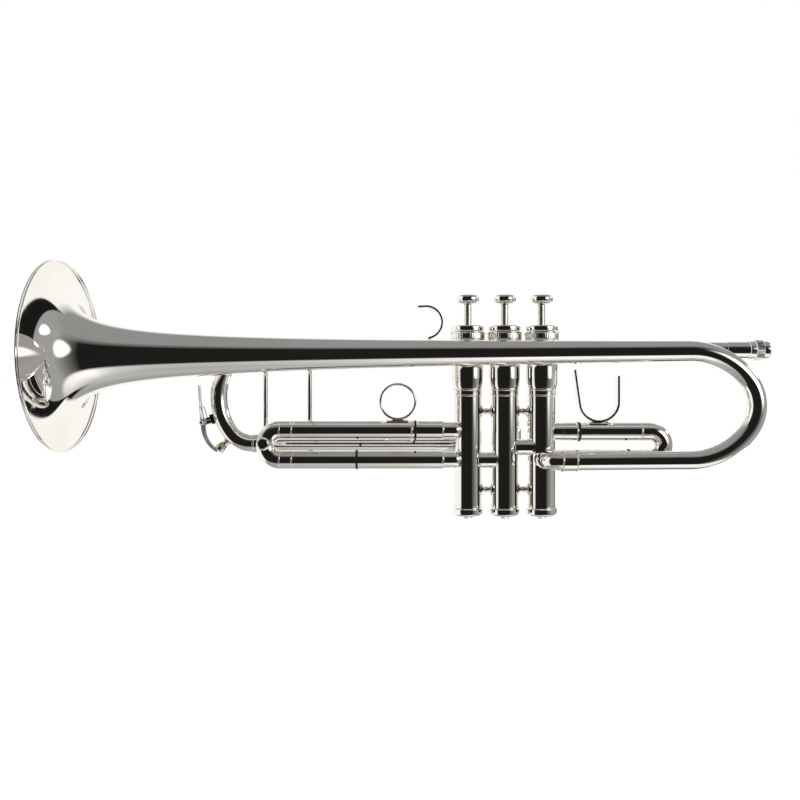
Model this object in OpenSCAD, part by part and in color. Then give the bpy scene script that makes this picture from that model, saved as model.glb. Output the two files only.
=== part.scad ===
// Piston trumpet in three valves, silver plated brass.
// Millimetres, +Z up, bell towards -X, mouthpiece end towards +X, player's right towards +Y.
// The origin is on the middle valve's axis, half way up the valve block.

/* [Tubing] */
// Radius of the air passage
bore_r = 5.4; // [5:0.05:5.8]
// Wall of the inner slide tubes
inner_wall = 0.4; // [0.3:0.05:0.6]
// Wall of the sleeves around the inner slide tubes
sleeve_wall = 0.4; // [0.3:0.05:0.6]
// Wall of the bent tubes
bend_wall = 0.7; // [0.5:0.05:0.9]
// Radial running clearance of a slide
slide_fit = 0.05; // [0.02:0.01:0.1]
// Film of solder between two fixed pieces
solder_gap = 0.05; // [0.02:0.01:0.1]
// Free gap between pieces that move apart
free_gap = 0.3; // [0.25:0.05:0.5]

/* [Bell] */
// Outer diameter at the rim
bell_d = 123; // [118:0.5:127]
// From the rim to the start of the rear bow
bell_len = 402; // [392:1:412]
// Power of the flare curve, higher opens later
flare_power = 0.378; // [0.34:0.002:0.42]
// Lead length of the flare curve
flare_lead = 2.13; // [1.9:0.01:2.4]
// Wall of the flare
bell_wall = 0.6; // [0.4:0.05:0.8]
// Radius of the wire in the rim
rim_wire_r = 0.9; // [0.7:0.05:1.2]
// Distance of the bell plane from the valve plane
bell_y = 24; // [23:0.5:27]
// Height of the bell stem above the tail
bow_rise = 70; // [66:0.5:74]
// Stretch of the rear bow, 0 is a half circle and higher is longer
bow_stretch = 4; // [3:0.2:5]
// Fall of the bell towards its rim, in degrees
bell_droop = 0.5; // [0:0.1:1]
// Length of the straight tail
tail_len = 82; // [76:1:88]
// Centre line radius of the elbows at the valves
elbow_r = 9; // [8.5:0.1:10]

/* [Valves] */
// Spacing of the valve axes
valve_pitch = 24.75; // [24.6:0.05:26]
// Travel of a piston
valve_stroke = 14; // [11:0.5:14]
// Outer radius of the lower casing
casing_r = 9.25; // [9.15:0.05:9.4]
// Wall of the lower casing
casing_wall = 0.7; // [0.6:0.05:0.8]
// Outer radius of the upper casing
upper_r = 10.7; // [10.5:0.05:10.9]
// Lower end of the casing barrel
casing_bottom = -55.7; // [-58:0.1:-54]
// Underside of the top cap skirt
cap_bottom = 54.4; // [53:0.1:56]
// Radius of the finger button
button_r = 7.7; // [7:0.1:9]
// Thickness of the finger button
button_h = 6.1; // [5:0.1:7]
// Radius of the valve stem
stem_r = 2.5; // [2.2:0.05:2.8]
// Radius of a passage through a piston
passage_r = 4.2; // [3.6:0.05:4.3]

/* [Leadpipe and tuning slide] */
// Distance of the leadpipe plane from the valve plane
lead_y = 24; // [23:0.5:27]
// Height of the leadpipe axis
lead_z = 50; // [49:0.2:52]
// Height of the lower leg of the tuning slide
lower_z = -15.5; // [-17:0.1:-15]
// Mouth of the mouthpiece receiver
receiver_x = 188.2; // [186:0.2:196]
// Start of the mouthpiece receiver
receiver_start = 158.5; // [156:0.5:160]
// Radius of the mouthpiece socket
socket_r = 5.3; // [5.1:0.05:5.4]
// Length of the mouthpiece socket
socket_len = 24; // [18:0.5:26]
// Left end of the tuning sleeves
sleeve_end_x = -161; // [-162:0.2:-158]
// Start of the tuning bow
tuning_x = -173.7; // [-178:0.1:-172]
// Stretch of the tuning bow, 0 is a half circle and lower is flatter
tuning_stretch = -4.4; // [-5:0.2:-3]

/* [Third slide] */
// Distance of the slide in front of the valve plane
third_y = 7; // [6.8:0.1:7.6]
// Height of the upper leg
third_top_z = -5; // [-6:0.1:-4]
// Height of the lower leg
third_low_z = -24.5; // [-26:0.1:-24]
// Turn of the slide tubes into the casing, in degrees
third_turn = 25; // [22:1:28]
// Centre of the finger ring along the slide
ring_x = -71.8; // [-76:0.2:-71]
// Outer radius of the finger ring
ring_r = 12.2; // [11:0.1:13.5]
// Width of the finger ring band
ring_w = 6; // [4:0.5:8]

/* [First slide] */
// Height of the upper leg
first_top_z = -6.3; // [-7:0.1:-5]
// Height of the lower leg
first_low_z = -24.4; // [-26:0.1:-24]
// Centre of the thumb saddle along the slide
saddle_x = 62.9; // [62:0.2:66]
// Radius inside the thumb saddle
saddle_r = 11.8; // [11:0.1:14]
// Width of the thumb saddle band
saddle_w = 8; // [6:0.5:10]

/* [Second slide] */
// Direction of the slide seen from above, in degrees
second_turn = 75; // [70:1:90]
// Height of the upper leg
second_top_z = -2; // [-3:0.1:-1]
// Height of the lower leg
second_low_z = -21.5; // [-23:0.1:-21]

/* [Water key] */
// Distance of the hinge from the tuning bow's skin
hinge_out = 7.3; // [6.8:0.1:8]
// Radius of the hinge screw
hinge_r = 0.85; // [0.7:0.05:1]
// Width of the lever
lever_w = 5; // [4:0.5:6]

/* [Hidden] */
$fn = 96;
inner_r = bore_r + inner_wall;
sleeve_in = inner_r + slide_fit;
sleeve_r = sleeve_in + sleeve_wall;
bend_r = bore_r + bend_wall;
casing_bore = casing_r - casing_wall;
piston_r = casing_bore - slide_fit;
tail_z = first_low_z;
tail_x = valve_pitch + elbow_r;
bell_y0 = -bell_y;
rim_x = tail_len - bell_len;
stem_end_r = bend_r + 0.5;
flare_span = pow(flare_lead, -flare_power) - pow(flare_lead + bell_len, -flare_power);
flare_a = (bell_d / 2 - stem_end_r) / flare_span;
flare_b = bell_d / 2 - flare_a * pow(flare_lead, -flare_power);
third_y0 = -third_y;
tuning_half = (lead_z - lower_z) / 2;
tuning_mid = (lead_z + lower_z) / 2;
tuning_corner = tuning_half + 3 * tuning_stretch;
tuning_tip_r = tuning_half - 2 * tuning_stretch;
tip_x = tuning_x - 4 * tuning_stretch;
hinge_a = 199;
hinge_d = tuning_tip_r + bend_r + hinge_out;
hinge_x = tip_x + hinge_d * cos(hinge_a);
hinge_z = tuning_mid + hinge_d * sin(hinge_a);
key_wire_r = 0.35;
key_coil_r = hinge_r + 0.85;
key_coil_y = lever_w / 2 + 2.2;
key_lean = 14.8;
key_sweep = 630 + key_lean;
key_rings = 14;
key_pitch = 1.16;
key_coil_h = key_pitch * key_sweep / 360;
key_bridge_z = 11;
drip_a = 225;
drip_x = tuning_x;
drip_z = lower_z + tuning_corner;
drip_d = tuning_corner + bend_r;
guide_z = 26;
guide_h = 2;
barrel_r = casing_bore - 0.35;
barrel_in = barrel_r - 0.9;
barrel_top = 59;
piston_top = 17;
piston_bottom = -34;
plate_top = barrel_top + 1.5;
cap_plate = 62.3;
cap_top = 64.6;
button_z = cap_top + valve_stroke + 0.3;
third_half = (third_top_z - third_low_z) / 2;
third_mid = (third_top_z + third_low_z) / 2;
first_half = (first_top_z - first_low_z) / 2;
first_mid = (first_top_z + first_low_z) / 2;
second_half = (second_top_z - second_low_z) / 2;
third_ball_x = -valve_pitch - third_y / tan(third_turn);
third_stop_top = -59.4;
third_stop_low = -98.1;
third_joint_x = -142.2;
third_bow_x = -149.8;
third_inner_x = -139.5;
first_stop_top = 48.8;
first_stop_low = 82.1;
first_joint_x = 91.9;
first_bow_x = 97.3;
second_end = 30;
bumper_w = 1.4;
bumper_r = sleeve_r + 0.3;
knuckle_y = -1.3;
knuckle_low = -25.1;
knuckle_high = -16.6;
knuckle_r = bore_r + 0.5;
drain_x = -161.1;
drain_z = -14.2;
drain_r = 4.8;
drain_len = 15;
drain_stroke = 2;

function valve_x(i) = (2 - i) * valve_pitch;
function flare(d) = flare_a * pow(flare_lead + d, -flare_power) + flare_b;
function flare_slope(d) = flare_a * flare_power * pow(flare_lead + d, -flare_power - 1);

module silver() {
    color([0.82, 0.82, 0.8]) children();
}

module nickel() {
    color([0.7, 0.71, 0.72]) children();
}

// Tube along X between two stations
module tube_x(x0, x1, y, z, ro, ri) {
    translate([x0, y, z]) rotate([0, 90, 0]) difference() {
        cylinder(h = x1 - x0, r = ro);
        translate([0, 0, -1]) cylinder(h = x1 - x0 + 2, r = ri);
    }
}

// Rod along X between two stations
module rod_x(x0, x1, y, z, r) {
    translate([x0, y, z]) rotate([0, 90, 0]) cylinder(h = x1 - x0, r = r);
}

// Rod along Y between two stations
module rod_y(x, y0, y1, z, r) {
    translate([x, y1, z]) rotate([90, 0, 0]) cylinder(h = y1 - y0, r = r);
}

// Part of a ring tube in the XZ plane, from angle a0 over a sweep
module bend_xz(cx, y, cz, r, a0, sweep, ro, ri) {
    translate([cx, y, cz]) rotate([90, 0, 0]) rotate([0, 0, a0]) rotate_extrude(angle = sweep) {
        translate([r, 0]) difference() {
            circle(r = ro);
            circle(r = ri);
        }
    }
}

// Part of a ring tube in the XY plane
module bend_xy(cx, cy, z, r, a0, sweep, ro, ri) {
    translate([cx, cy, z]) rotate([0, 0, a0]) rotate_extrude(angle = sweep) {
        translate([r, 0]) difference() {
            circle(r = ro);
            circle(r = ri);
        }
    }
}

// Solid part of a ring in the XZ plane, used to cut and to fill
module bend_solid_xz(cx, y, cz, r, a0, sweep, ro) {
    translate([cx, y, cz]) rotate([90, 0, 0]) rotate([0, 0, a0]) rotate_extrude(angle = sweep) {
        translate([r, 0]) circle(r = ro);
    }
}

// Whole ring tube in the XY plane
module ring_tube(r, ro, ri) {
    rotate_extrude() translate([r, 0]) difference() {
        circle(r = ro);
        circle(r = ri);
    }
}

// Half space on the left of a line through the origin at an angle
module left_of(a) {
    rotate([0, 0, a]) translate([-200, 0, -50]) cube([400, 200, 100]);
}

// U bow opening towards -X with its legs at z = -b and z = b, in three arcs
// whose centres lie on 3-4-5 triangles of unit k
module arch_tube(b, k, ro, ri) {
    h = atan2(3, 4);
    rotate([90, 0, 0]) {
        translate([4 * k, 0, 0]) difference() {
            ring_tube(b - 2 * k, ro, ri);
            left_of(h);
            left_of(180 - h);
        }
        for (m = [0, 1]) mirror([0, m, 0]) translate([0, 3 * k, 0]) difference() {
            ring_tube(b + 3 * k, ro, ri);
            left_of(-h);
            left_of(90);
        }
    }
}

// Flat band bent in the XZ plane
module band_xz(cx, y, cz, r0, r1, a0, sweep, w) {
    translate([cx, y, cz]) rotate([90, 0, 0]) rotate([0, 0, a0]) rotate_extrude(angle = sweep) {
        translate([r0, -w / 2]) square([r1 - r0, w]);
    }
}

// Piece of a tube wall along X, centred on a direction seen from +X
module saddle_x(x0, x1, y, z, r0, r1, a, half) {
    translate([x0, y, z]) rotate([90, 0, 90]) rotate([0, 0, a - half]) intersection() {
        rotate_extrude(angle = 2 * half) translate([r0, 0]) square([r1 - r0, x1 - x0]);
        cylinder(h = x1 - x0, r = r1 + 1);
    }
}

// Round rod between two points, flared at both ends
module brace_rod(p, q, r, foot) {
    v = q - p;
    n = norm(v);
    translate(p) rotate([0, acos(v[2] / n), atan2(v[1], v[0])]) rotate_extrude() {
        polygon([[0, 0], [foot, 0], [foot * 0.8, n * 0.5 > 4 ? 1.4 : 0.8], [r, 4], [r, n - 4],
            [foot * 0.8, n - 1.4], [foot, n], [0, n]]);
    }
}

// Coil of round wire standing on z = 0
module coil(r, wire, turns, h) {
    sides = 6;
    steps = 10 * turns;
    pitch = (h - 2 * wire) / turns;
    pts = [
        for (i = [0 : steps])
            for (j = [0 : sides - 1])
                let (t = 360 * i / 10, q = 360 * j / sides, rr = r + wire * cos(q))
                    [rr * cos(t), rr * sin(t), wire + pitch * t / 360 + wire * sin(q)]
    ];
    side_faces = [
        for (i = [0 : steps - 1])
            for (j = [0 : sides - 1])
                let (k = (j + 1) % sides)
                    [i * sides + j, (i + 1) * sides + j, (i + 1) * sides + k, i * sides + k]
    ];
    first_face = [for (j = [0 : sides - 1]) j];
    last_face = [for (j = [0 : sides - 1]) steps * sides + sides - 1 - j];
    polyhedron(points = pts, faces = concat(side_faces, [first_face], [last_face]), convexity = 8);
}

// Frame of the bell: origin at the joint of tail and elbow
module bell_frame() {
    translate([tail_x, bell_y0, tail_z]) rotate([0, -bell_droop, 0]) children();
}

module bell() {
    n = 44;
    steps = [for (i = [0 : n]) bell_len * pow(i / n, 2.6)];
    outer = [for (d = steps) [flare(d), d]];
    inner = [
        for (i = [n : -1 : 0])
            let (d = steps[i], s = flare_slope(d), k = bell_wall / sqrt(1 + s * s))
                [flare(d) - k, i == n ? d : d - k * s]
    ];
    silver() bell_frame() translate([rim_x, 0, bow_rise]) rotate([0, 90, 0]) {
        rotate_extrude() polygon(concat(outer, inner));
    }
}

module bell_rim_wire() {
    wire_seat = bell_d / 2 - rim_wire_r;
    silver() bell_frame() translate([rim_x + rim_wire_r + 0.35, 0, bow_rise]) rotate([0, 90, 0]) {
        rotate_extrude() translate([wire_seat, 0]) circle(r = rim_wire_r);
    }
}

module bell_bow() {
    silver() bell_frame() {
        translate([tail_len + solder_gap, 0, bow_rise / 2]) {
            arch_tube(bow_rise / 2, bow_stretch, bend_r, bore_r);
        }
        tube_x(4.5, tail_len + solder_gap, 0, 0, bend_r, bore_r);
    }
}

// Turned by half the bell's droop, so it takes the level elbow and the drooping tail alike
module bell_tail_ferrule() {
    silver() translate([tail_x + 4.5, bell_y0, tail_z + 0.02]) rotate([0, -bell_droop / 2, 0])
        tube_x(-5, 5, 0, 0, bend_r + 0.55, bend_r + solder_gap * 2);
}

module bell_elbow() {
    silver() difference() {
        union() {
            bend_xy(tail_x, bell_y0 + elbow_r, tail_z, elbow_r, 180, 90, bend_r, bore_r);
            tube_x(tail_x, tail_x + 4.4, bell_y0, tail_z, bend_r, bore_r);
            translate([valve_x(1), 0, tail_z]) rotate([90, 0, 0]) difference() {
                cylinder(h = bell_y - elbow_r, r = bend_r);
                translate([0, 0, -1]) cylinder(h = bell_y, r = bore_r);
            }
        }
        translate([valve_x(1), 0, -80]) cylinder(h = 160, r = casing_r + solder_gap);
    }
}

// Braces from the bell to the leadpipe, and between the tuning sleeves
module body_braces() {
    stations = [-148, -58.7, 69];
    silver() for (x = stations) {
        d = x - tail_x - rim_x;
        z = tail_z + bow_rise + (x - tail_x) * sin(bell_droop);
        pipe = x < -50 ? sleeve_r : bend_r;
        difference() {
            brace_rod([x, bell_y0 + flare(d) * 0.7, z], [x, lead_y - pipe * 0.7, lead_z], 1.6, 3.4);
            rod_x(x - 10, x + 10, bell_y0, z, flare(d - 4) + solder_gap);
            rod_x(x - 10, x + 10, lead_y, lead_z, pipe + solder_gap);
        }
    }
    silver() difference() {
        brace_rod([-133.8, lead_y, lower_z + 4], [-133.8, lead_y, lead_z - 4], 1.6, 3.2);
        rod_x(-144, -124, lead_y, lower_z, sleeve_r + solder_gap);
        rod_x(-144, -124, lead_y, lead_z, sleeve_r + solder_gap);
    }
}

module leadpipe() {
    start = -60 + solder_gap;
    neck = receiver_start - 0.45 - start;
    tip = receiver_x - socket_len - 1.4 - start;
    silver() translate([start, lead_y, lead_z]) rotate([0, 90, 0]) {
        rotate_extrude() polygon([
            [bore_r - 0.4, -14], [inner_r, -14], [inner_r, 0], [bend_r, 0], [bend_r - 0.4, neck],
            [4.8, neck], [4.8, tip], [4.2, tip], [4.2, 160]
        ]);
    }
}

module mouthpiece_receiver() {
    l = receiver_x - receiver_start;
    e = l - socket_len;
    silver() translate([receiver_start, lead_y, lead_z]) rotate([0, 90, 0]) rotate_extrude() polygon([
        [4.8 + solder_gap, 0], [6, 0], [6, l - 14], [6.5, l - 14], [6.5, l - 10], [6.2, l - 9.5],
        [7, l - 9], [7, l - 5], [6.2, l - 4.5], [6.4, l - 4], [6.4, l - 0.4], [6, l], [socket_r, l],
        [socket_r, e], [4.2, e], [4.2, e - 0.8], [4.8 + solder_gap, e - 0.8]
    ]);
}

module pinky_hook() {
    cx = -51.5;
    cz = 69.5;
    silver() difference() {
        union() {
            band_xz(cx, lead_y, cz, 9.8, 11.8, -80, 172, 6);
            translate([cx, lead_y - 2.8, cz]) rotate([0, -4, 0])
                translate([-5.6, 0, 9.95]) cube([7.2, 5.6, 1.65]);
            translate([cx + 0.9, lead_y - 2.5, lead_z]) cube([2.2, 5, 9.4]);
            saddle_x(cx - 6, cx + 9, lead_y, lead_z, bend_r + solder_gap, bend_r + 1.1, 90, 35);
        }
        rod_x(cx - 20, cx + 20, lead_y, lead_z, bend_r + solder_gap);
    }
}

module tuning_sleeves() {
    silver() {
        tube_x(sleeve_end_x, -60, lead_y, lead_z, sleeve_r, sleeve_in);
        tube_x(sleeve_end_x, -36 - solder_gap * 3, lead_y, lower_z, sleeve_r, sleeve_in);
    }
}

module entry_elbow() {
    x = valve_x(3);
    silver() difference() {
        union() {
            bend_xy(x - elbow_r, lead_y - elbow_r, lower_z, elbow_r, 0, 90, bend_r, bore_r);
            tube_x(-36, x - elbow_r, lead_y, lower_z, bend_r, bore_r);
            tube_x(-46, -36 - solder_gap * 2, lead_y, lower_z, sleeve_r + 0.5, sleeve_r + solder_gap);
            tube_x(-36 - solder_gap * 2, -35, lead_y, lower_z, sleeve_r + 0.5, bore_r);
            translate([x, lead_y - elbow_r, lower_z]) rotate([90, 0, 0]) difference() {
                cylinder(h = lead_y - elbow_r, r = bend_r);
                translate([0, 0, -1]) cylinder(h = lead_y, r = bore_r);
            }
        }
        translate([x, 0, -80]) cylinder(h = 160, r = casing_r + solder_gap);
    }
}

// Bore through a casing wall, from the valve axis towards a direction
module port_hole(a, y, z) {
    rotate([0, 0, a]) translate([0, y, z]) rotate([0, 90, 0]) cylinder(h = 30, r = bore_r);
}

module casing_body() {
    neck = casing_r - 0.3;
    rotate_extrude() polygon([
        [casing_bore, casing_bottom - 5], [neck, casing_bottom - 5], [neck, casing_bottom],
        [casing_r, casing_bottom], [casing_r, 17.4], [casing_r + 0.7, 17.7], [casing_r + 0.7, 18.4],
        [casing_r + 0.35, 18.8], [casing_r + 0.35, 21], [casing_r + 0.9, 21.3], [casing_r + 0.9, 22.1],
        [casing_r + 0.6, 22.5], [casing_r + 0.9, 23.4], [casing_r + 1, 24.4], [upper_r - 0.2, 27],
        [upper_r, 30], [upper_r, 61.5], [upper_r - 1, 61.5], [upper_r - 1, guide_z], [casing_bore, guide_z]
    ]);
}

module valve_casing_1() {
    silver() translate([valve_x(1), 0, 0]) difference() {
        casing_body();
        port_hole(180, -knuckle_y, knuckle_high);
        port_hole(-90, 0, tail_z);
        port_hole(0, 0, first_top_z);
        port_hole(0, 0, first_low_z);
    }
}

module valve_casing_2() {
    silver() translate([valve_x(2), 0, 0]) difference() {
        casing_body();
        port_hole(180, -knuckle_y, knuckle_low);
        port_hole(0, knuckle_y, knuckle_high);
        port_hole(second_turn, 0, second_top_z);
        port_hole(second_turn, 0, second_low_z);
    }
}

module valve_casing_3() {
    silver() translate([valve_x(3), 0, 0]) difference() {
        casing_body();
        port_hole(90, 0, lower_z);
        port_hole(0, knuckle_y, knuckle_low);
        port_hole(180 + third_turn, 0, third_top_z);
        port_hole(180 + third_turn, 0, third_low_z);
    }
}

module top_cap(i) {
    skirt = upper_r + solder_gap;
    silver() translate([valve_x(i), 0, 0]) rotate_extrude() polygon([
        [skirt, cap_bottom], [skirt + 0.6, cap_bottom], [skirt + 1.05, cap_bottom + 0.6],
        [skirt + 1.05, cap_bottom + 6.2], [skirt + 0.5, cap_bottom + 6.8], [skirt + 0.25, cap_bottom + 7.1],
        [skirt + 0.25, cap_top - 1], [skirt - 0.4, cap_top - 0.2], [stem_r + free_gap + 0.3, cap_top],
        [stem_r + free_gap, cap_top - 0.3], [stem_r + free_gap, cap_plate], [skirt, cap_plate]
    ]);
}

module top_cap_1() {
    top_cap(1);
}

module top_cap_2() {
    top_cap(2);
}

module top_cap_3() {
    top_cap(3);
}

module bottom_caps() {
    neck = casing_r - 0.3 + solder_gap;
    b = casing_bottom - solder_gap;
    silver() for (i = [1 : 3]) translate([valve_x(i), 0, 0]) rotate_extrude() polygon([
        [neck, b], [casing_r + 0.25, b], [casing_r + 0.25, b - 1.4], [casing_r + 1.1, b - 2],
        [casing_r + 1.1, b - 5.2], [casing_r + 0.3, b - 6.2], [6.5, b - 7.2], [3.6, b - 7.4],
        [3.4, b - 8.6], [2, b - 8.6], [2, b - 6], [neck, b - 6]
    ]);
}

module valve_knuckles() {
    silver() for (k = [[3, knuckle_low], [2, knuckle_high]]) difference() {
        tube_x(valve_x(k[0]), valve_x(k[0] - 1), knuckle_y, k[1], knuckle_r, bore_r);
        translate([valve_x(k[0]), 0, -80]) cylinder(h = 160, r = casing_r + solder_gap);
        translate([valve_x(k[0] - 1), 0, -80]) cylinder(h = 160, r = casing_r + solder_gap);
    }
}

module casing_braces() {
    l = valve_pitch;
    silver() for (i = [2, 3]) for (z = [7.6, -44.9]) difference() {
        translate([valve_x(i), 0, z]) rotate([0, 90, 0]) rotate_extrude() polygon([
            [0, 6], [2.8, 6], [2.8, casing_r + 0.4], [1.5, l / 2 - 1.2], [2.2, l / 2 - 0.6],
            [2.2, l / 2 + 0.6], [1.5, l / 2 + 1.2], [2.8, l - casing_r - 0.4], [2.8, l - 6], [0, l - 6]
        ]);
        translate([valve_x(i), 0, -80]) cylinder(h = 160, r = casing_r + solder_gap);
        translate([valve_x(i - 1), 0, -80]) cylinder(h = 160, r = casing_r + solder_gap);
    }
}

// Fixed sleeve, ball knuckle and short tube into the casing, for one leg
module third_port(z, stop_x) {
    difference() {
        union() {
            rod_x(stop_x, third_ball_x, third_y0, z, sleeve_r);
            translate([third_ball_x, third_y0, z]) sphere(r = sleeve_r + 0.25);
            translate([third_ball_x, third_y0, z]) rotate([0, 90, third_turn])
                cylinder(h = 9, r = sleeve_r - 0.2);
        }
        rod_x(stop_x - 1, third_ball_x - 6.9, third_y0, z, inner_r + solder_gap);
        rod_x(stop_x - 1, third_ball_x, third_y0, z, bore_r);
        translate([third_ball_x, third_y0, z]) sphere(r = bore_r + 0.2);
        translate([third_ball_x, third_y0, z]) rotate([0, 90, third_turn])
            cylinder(h = 10, r = bore_r - 0.25);
        translate([valve_x(3), 0, -80]) cylinder(h = 160, r = casing_r + solder_gap);
    }
}

module third_slide_ports() {
    silver() {
        third_port(third_top_z, third_stop_top);
        third_port(third_low_z, third_stop_low);
    }
}

module first_slide_ports() {
    silver() difference() {
        union() {
            tube_x(valve_x(1), first_stop_top, 0, first_top_z, sleeve_r, inner_r + solder_gap);
            tube_x(valve_x(1), first_stop_low, 0, first_low_z, sleeve_r, sleeve_in);
        }
        translate([valve_x(1), 0, -80]) cylinder(h = 160, r = casing_r + solder_gap);
    }
}

module second_slide_ports() {
    silver() difference() {
        rotate([0, 0, second_turn]) for (z = [second_top_z, second_low_z]) {
            tube_x(0, second_end, 0, z, sleeve_r, sleeve_in);
        }
        translate([0, 0, -80]) cylinder(h = 160, r = casing_r + solder_gap);
    }
}

module slide_inner_tubes() {
    nickel() {
        tube_x(third_inner_x, third_ball_x - 6.9, third_y0, third_top_z, inner_r, bore_r);
        tube_x(third_inner_x, third_ball_x - 6.9, third_y0, third_low_z, inner_r, bore_r);
        tube_x(valve_x(1) + casing_r + 2, first_joint_x - 1.6, 0, first_top_z, inner_r, bore_r);
    }
}

module slide_bumpers() {
    g = 0.1;
    color([0.03, 0.03, 0.03]) {
        tube_x(third_stop_top - g - bumper_w, third_stop_top - g, third_y0, third_top_z, bumper_r, sleeve_in);
        tube_x(third_stop_low - g - bumper_w, third_stop_low - g, third_y0, third_low_z, bumper_r, sleeve_in);
        tube_x(first_stop_top + g, first_stop_top + g + bumper_w, 0, first_top_z, bumper_r, sleeve_in);
        tube_x(first_stop_low + g, first_stop_low + g + bumper_w, 0, first_low_z, bumper_r, sleeve_in);
    }
}

module cap_felts() {
    color([0.5, 0.1, 0.1]) for (i = [1 : 3]) translate([valve_x(i), 0, plate_top + free_gap]) difference() {
        cylinder(h = cap_plate - plate_top - free_gap - solder_gap, r = 7);
        translate([0, 0, -1]) cylinder(h = 6, r = stem_r + free_gap);
    }
}

module valve_guides() {
    color([0.9, 0.88, 0.8]) for (i = [1 : 3]) translate([valve_x(i), 0, guide_z + solder_gap]) difference() {
        union() {
            cylinder(h = guide_h, r = barrel_in - 0.4);
            intersection() {
                translate([-1.3, -12, 0]) cube([2.6, 24, guide_h]);
                cylinder(h = guide_h, r = upper_r - 1 - solder_gap);
            }
        }
        translate([0, 0, -1]) cylinder(h = guide_h + 2, r = 3);
    }
}

// Passage bent once on the piston's axis, between two ports
module passage(a0, z0, a1, z1) {
    m = (z0 + z1) / 2;
    for (p = [[a0, z0, passage_r], [a1, z1, passage_r - 0.4]]) {
        d = [12 * cos(p[0]), 12 * sin(p[0]), 12 / piston_r * (p[1] - m)];
        n = norm(d);
        translate([0, 0, m]) rotate([0, acos(d[2] / n), p[0]]) cylinder(h = n, r = p[2]);
    }
    translate([0, 0, m]) sphere(r = passage_r + 0.25);
}

// Piston with its spring barrel and the slot for the guide
module piston_body() {
    difference() {
        rotate_extrude() polygon([
            [0, piston_bottom], [piston_r - 0.3, piston_bottom], [piston_r, piston_bottom + 0.3],
            [piston_r, piston_top - 0.3], [piston_r - 0.3, piston_top], [barrel_r, piston_top],
            [barrel_r, barrel_top], [barrel_in, barrel_top], [barrel_in, piston_top + 2],
            [0, piston_top + 2]
        ]);
        translate([-1.7, -12, guide_z - 0.6]) cube([3.4, 24, guide_h + valve_stroke + 1.2]);
        translate([0, 0, piston_bottom - 1]) cylinder(h = 6, r = 5);
    }
}

module piston_1() {
    nickel() translate([valve_x(1), 0, 0]) difference() {
        piston_body();
        passage(180, knuckle_high, -90, tail_z);
        passage(180, knuckle_high + valve_stroke, 0, first_top_z + valve_stroke);
        passage(-90, tail_z + valve_stroke, 0, first_low_z + valve_stroke);
    }
}

module piston_2() {
    nickel() translate([valve_x(2), 0, 0]) difference() {
        piston_body();
        passage(180, knuckle_low, 0, knuckle_high);
        passage(180, knuckle_low + valve_stroke, second_turn, second_low_z + valve_stroke);
        passage(0, knuckle_high + valve_stroke, second_turn, second_top_z + valve_stroke);
    }
}

module piston_3() {
    nickel() translate([valve_x(3), 0, 0]) difference() {
        piston_body();
        passage(90, lower_z, 0, knuckle_low);
        passage(90, lower_z + valve_stroke, 180 + third_turn, third_top_z + valve_stroke);
        passage(0, knuckle_low + valve_stroke, 180 + third_turn, third_low_z + valve_stroke);
    }
}

module valve_stem(i) {
    silver() translate([valve_x(i), 0, 0]) rotate_extrude() polygon([
        [0, barrel_top + solder_gap], [barrel_r, barrel_top + solder_gap], [barrel_r, plate_top],
        [stem_r, plate_top], [stem_r, button_z - solder_gap], [0, button_z - solder_gap]
    ]);
}

module valve_stem_1() {
    valve_stem(1);
}

module valve_stem_2() {
    valve_stem(2);
}

module valve_stem_3() {
    valve_stem(3);
}

module finger_button(i) {
    r = button_r;
    h = button_h;
    silver() translate([valve_x(i), 0, button_z]) rotate_extrude() polygon([
        [0, 0], [stem_r + 0.7, 0], [r * 0.7, h * 0.09], [r * 0.9, h * 0.22], [r - 0.1, h * 0.39],
        [r, h * 0.55], [r - 0.1, h * 0.76], [r - 0.4, h * 0.92], [r - 0.9, h], [r - 1.25, h - 0.2],
        [r - 1.4, h - 1.4], [0, h - 1.4]
    ]);
}

module finger_button_1() {
    finger_button(1);
}

module finger_button_2() {
    finger_button(2);
}

module finger_button_3() {
    finger_button(3);
}

module pearl_inlay(i) {
    color([0.95, 0.94, 0.9]) translate([valve_x(i), 0, button_z + button_h - 1.4 + solder_gap]) {
        cylinder(h = 1, r = button_r - 1.4 - solder_gap);
    }
}

module pearl_inlay_1() {
    pearl_inlay(1);
}

module pearl_inlay_2() {
    pearl_inlay(2);
}

module pearl_inlay_3() {
    pearl_inlay(3);
}

module valve_spring(i) {
    z0 = guide_z + guide_h + 0.15;
    color([0.6, 0.6, 0.62]) translate([valve_x(i), 0, z0]) coil(5.2, 0.45, 8, barrel_top - z0 - 0.1);
}

module valve_spring_1() {
    valve_spring(1);
}

module valve_spring_2() {
    valve_spring(2);
}

module valve_spring_3() {
    valve_spring(3);
}

// Moving sleeve of a slide with a bead at its open end
module beaded_tube(x0, x1, y, z, at) {
    tube_x(x0, x1, y, z, sleeve_r, sleeve_in);
    tube_x(at - 0.6, at + 0.6, y, z, sleeve_r + 0.35, sleeve_in + 0.1);
}

module third_slide_tubes() {
    g = 0.1 + bumper_w + free_gap;
    silver() {
        beaded_tube(third_joint_x, third_stop_top - g, third_y0, third_top_z, third_stop_top - g - 1.2);
        beaded_tube(third_joint_x, third_stop_low - g, third_y0, third_low_z, third_joint_x + 0.7);
    }
}

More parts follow.
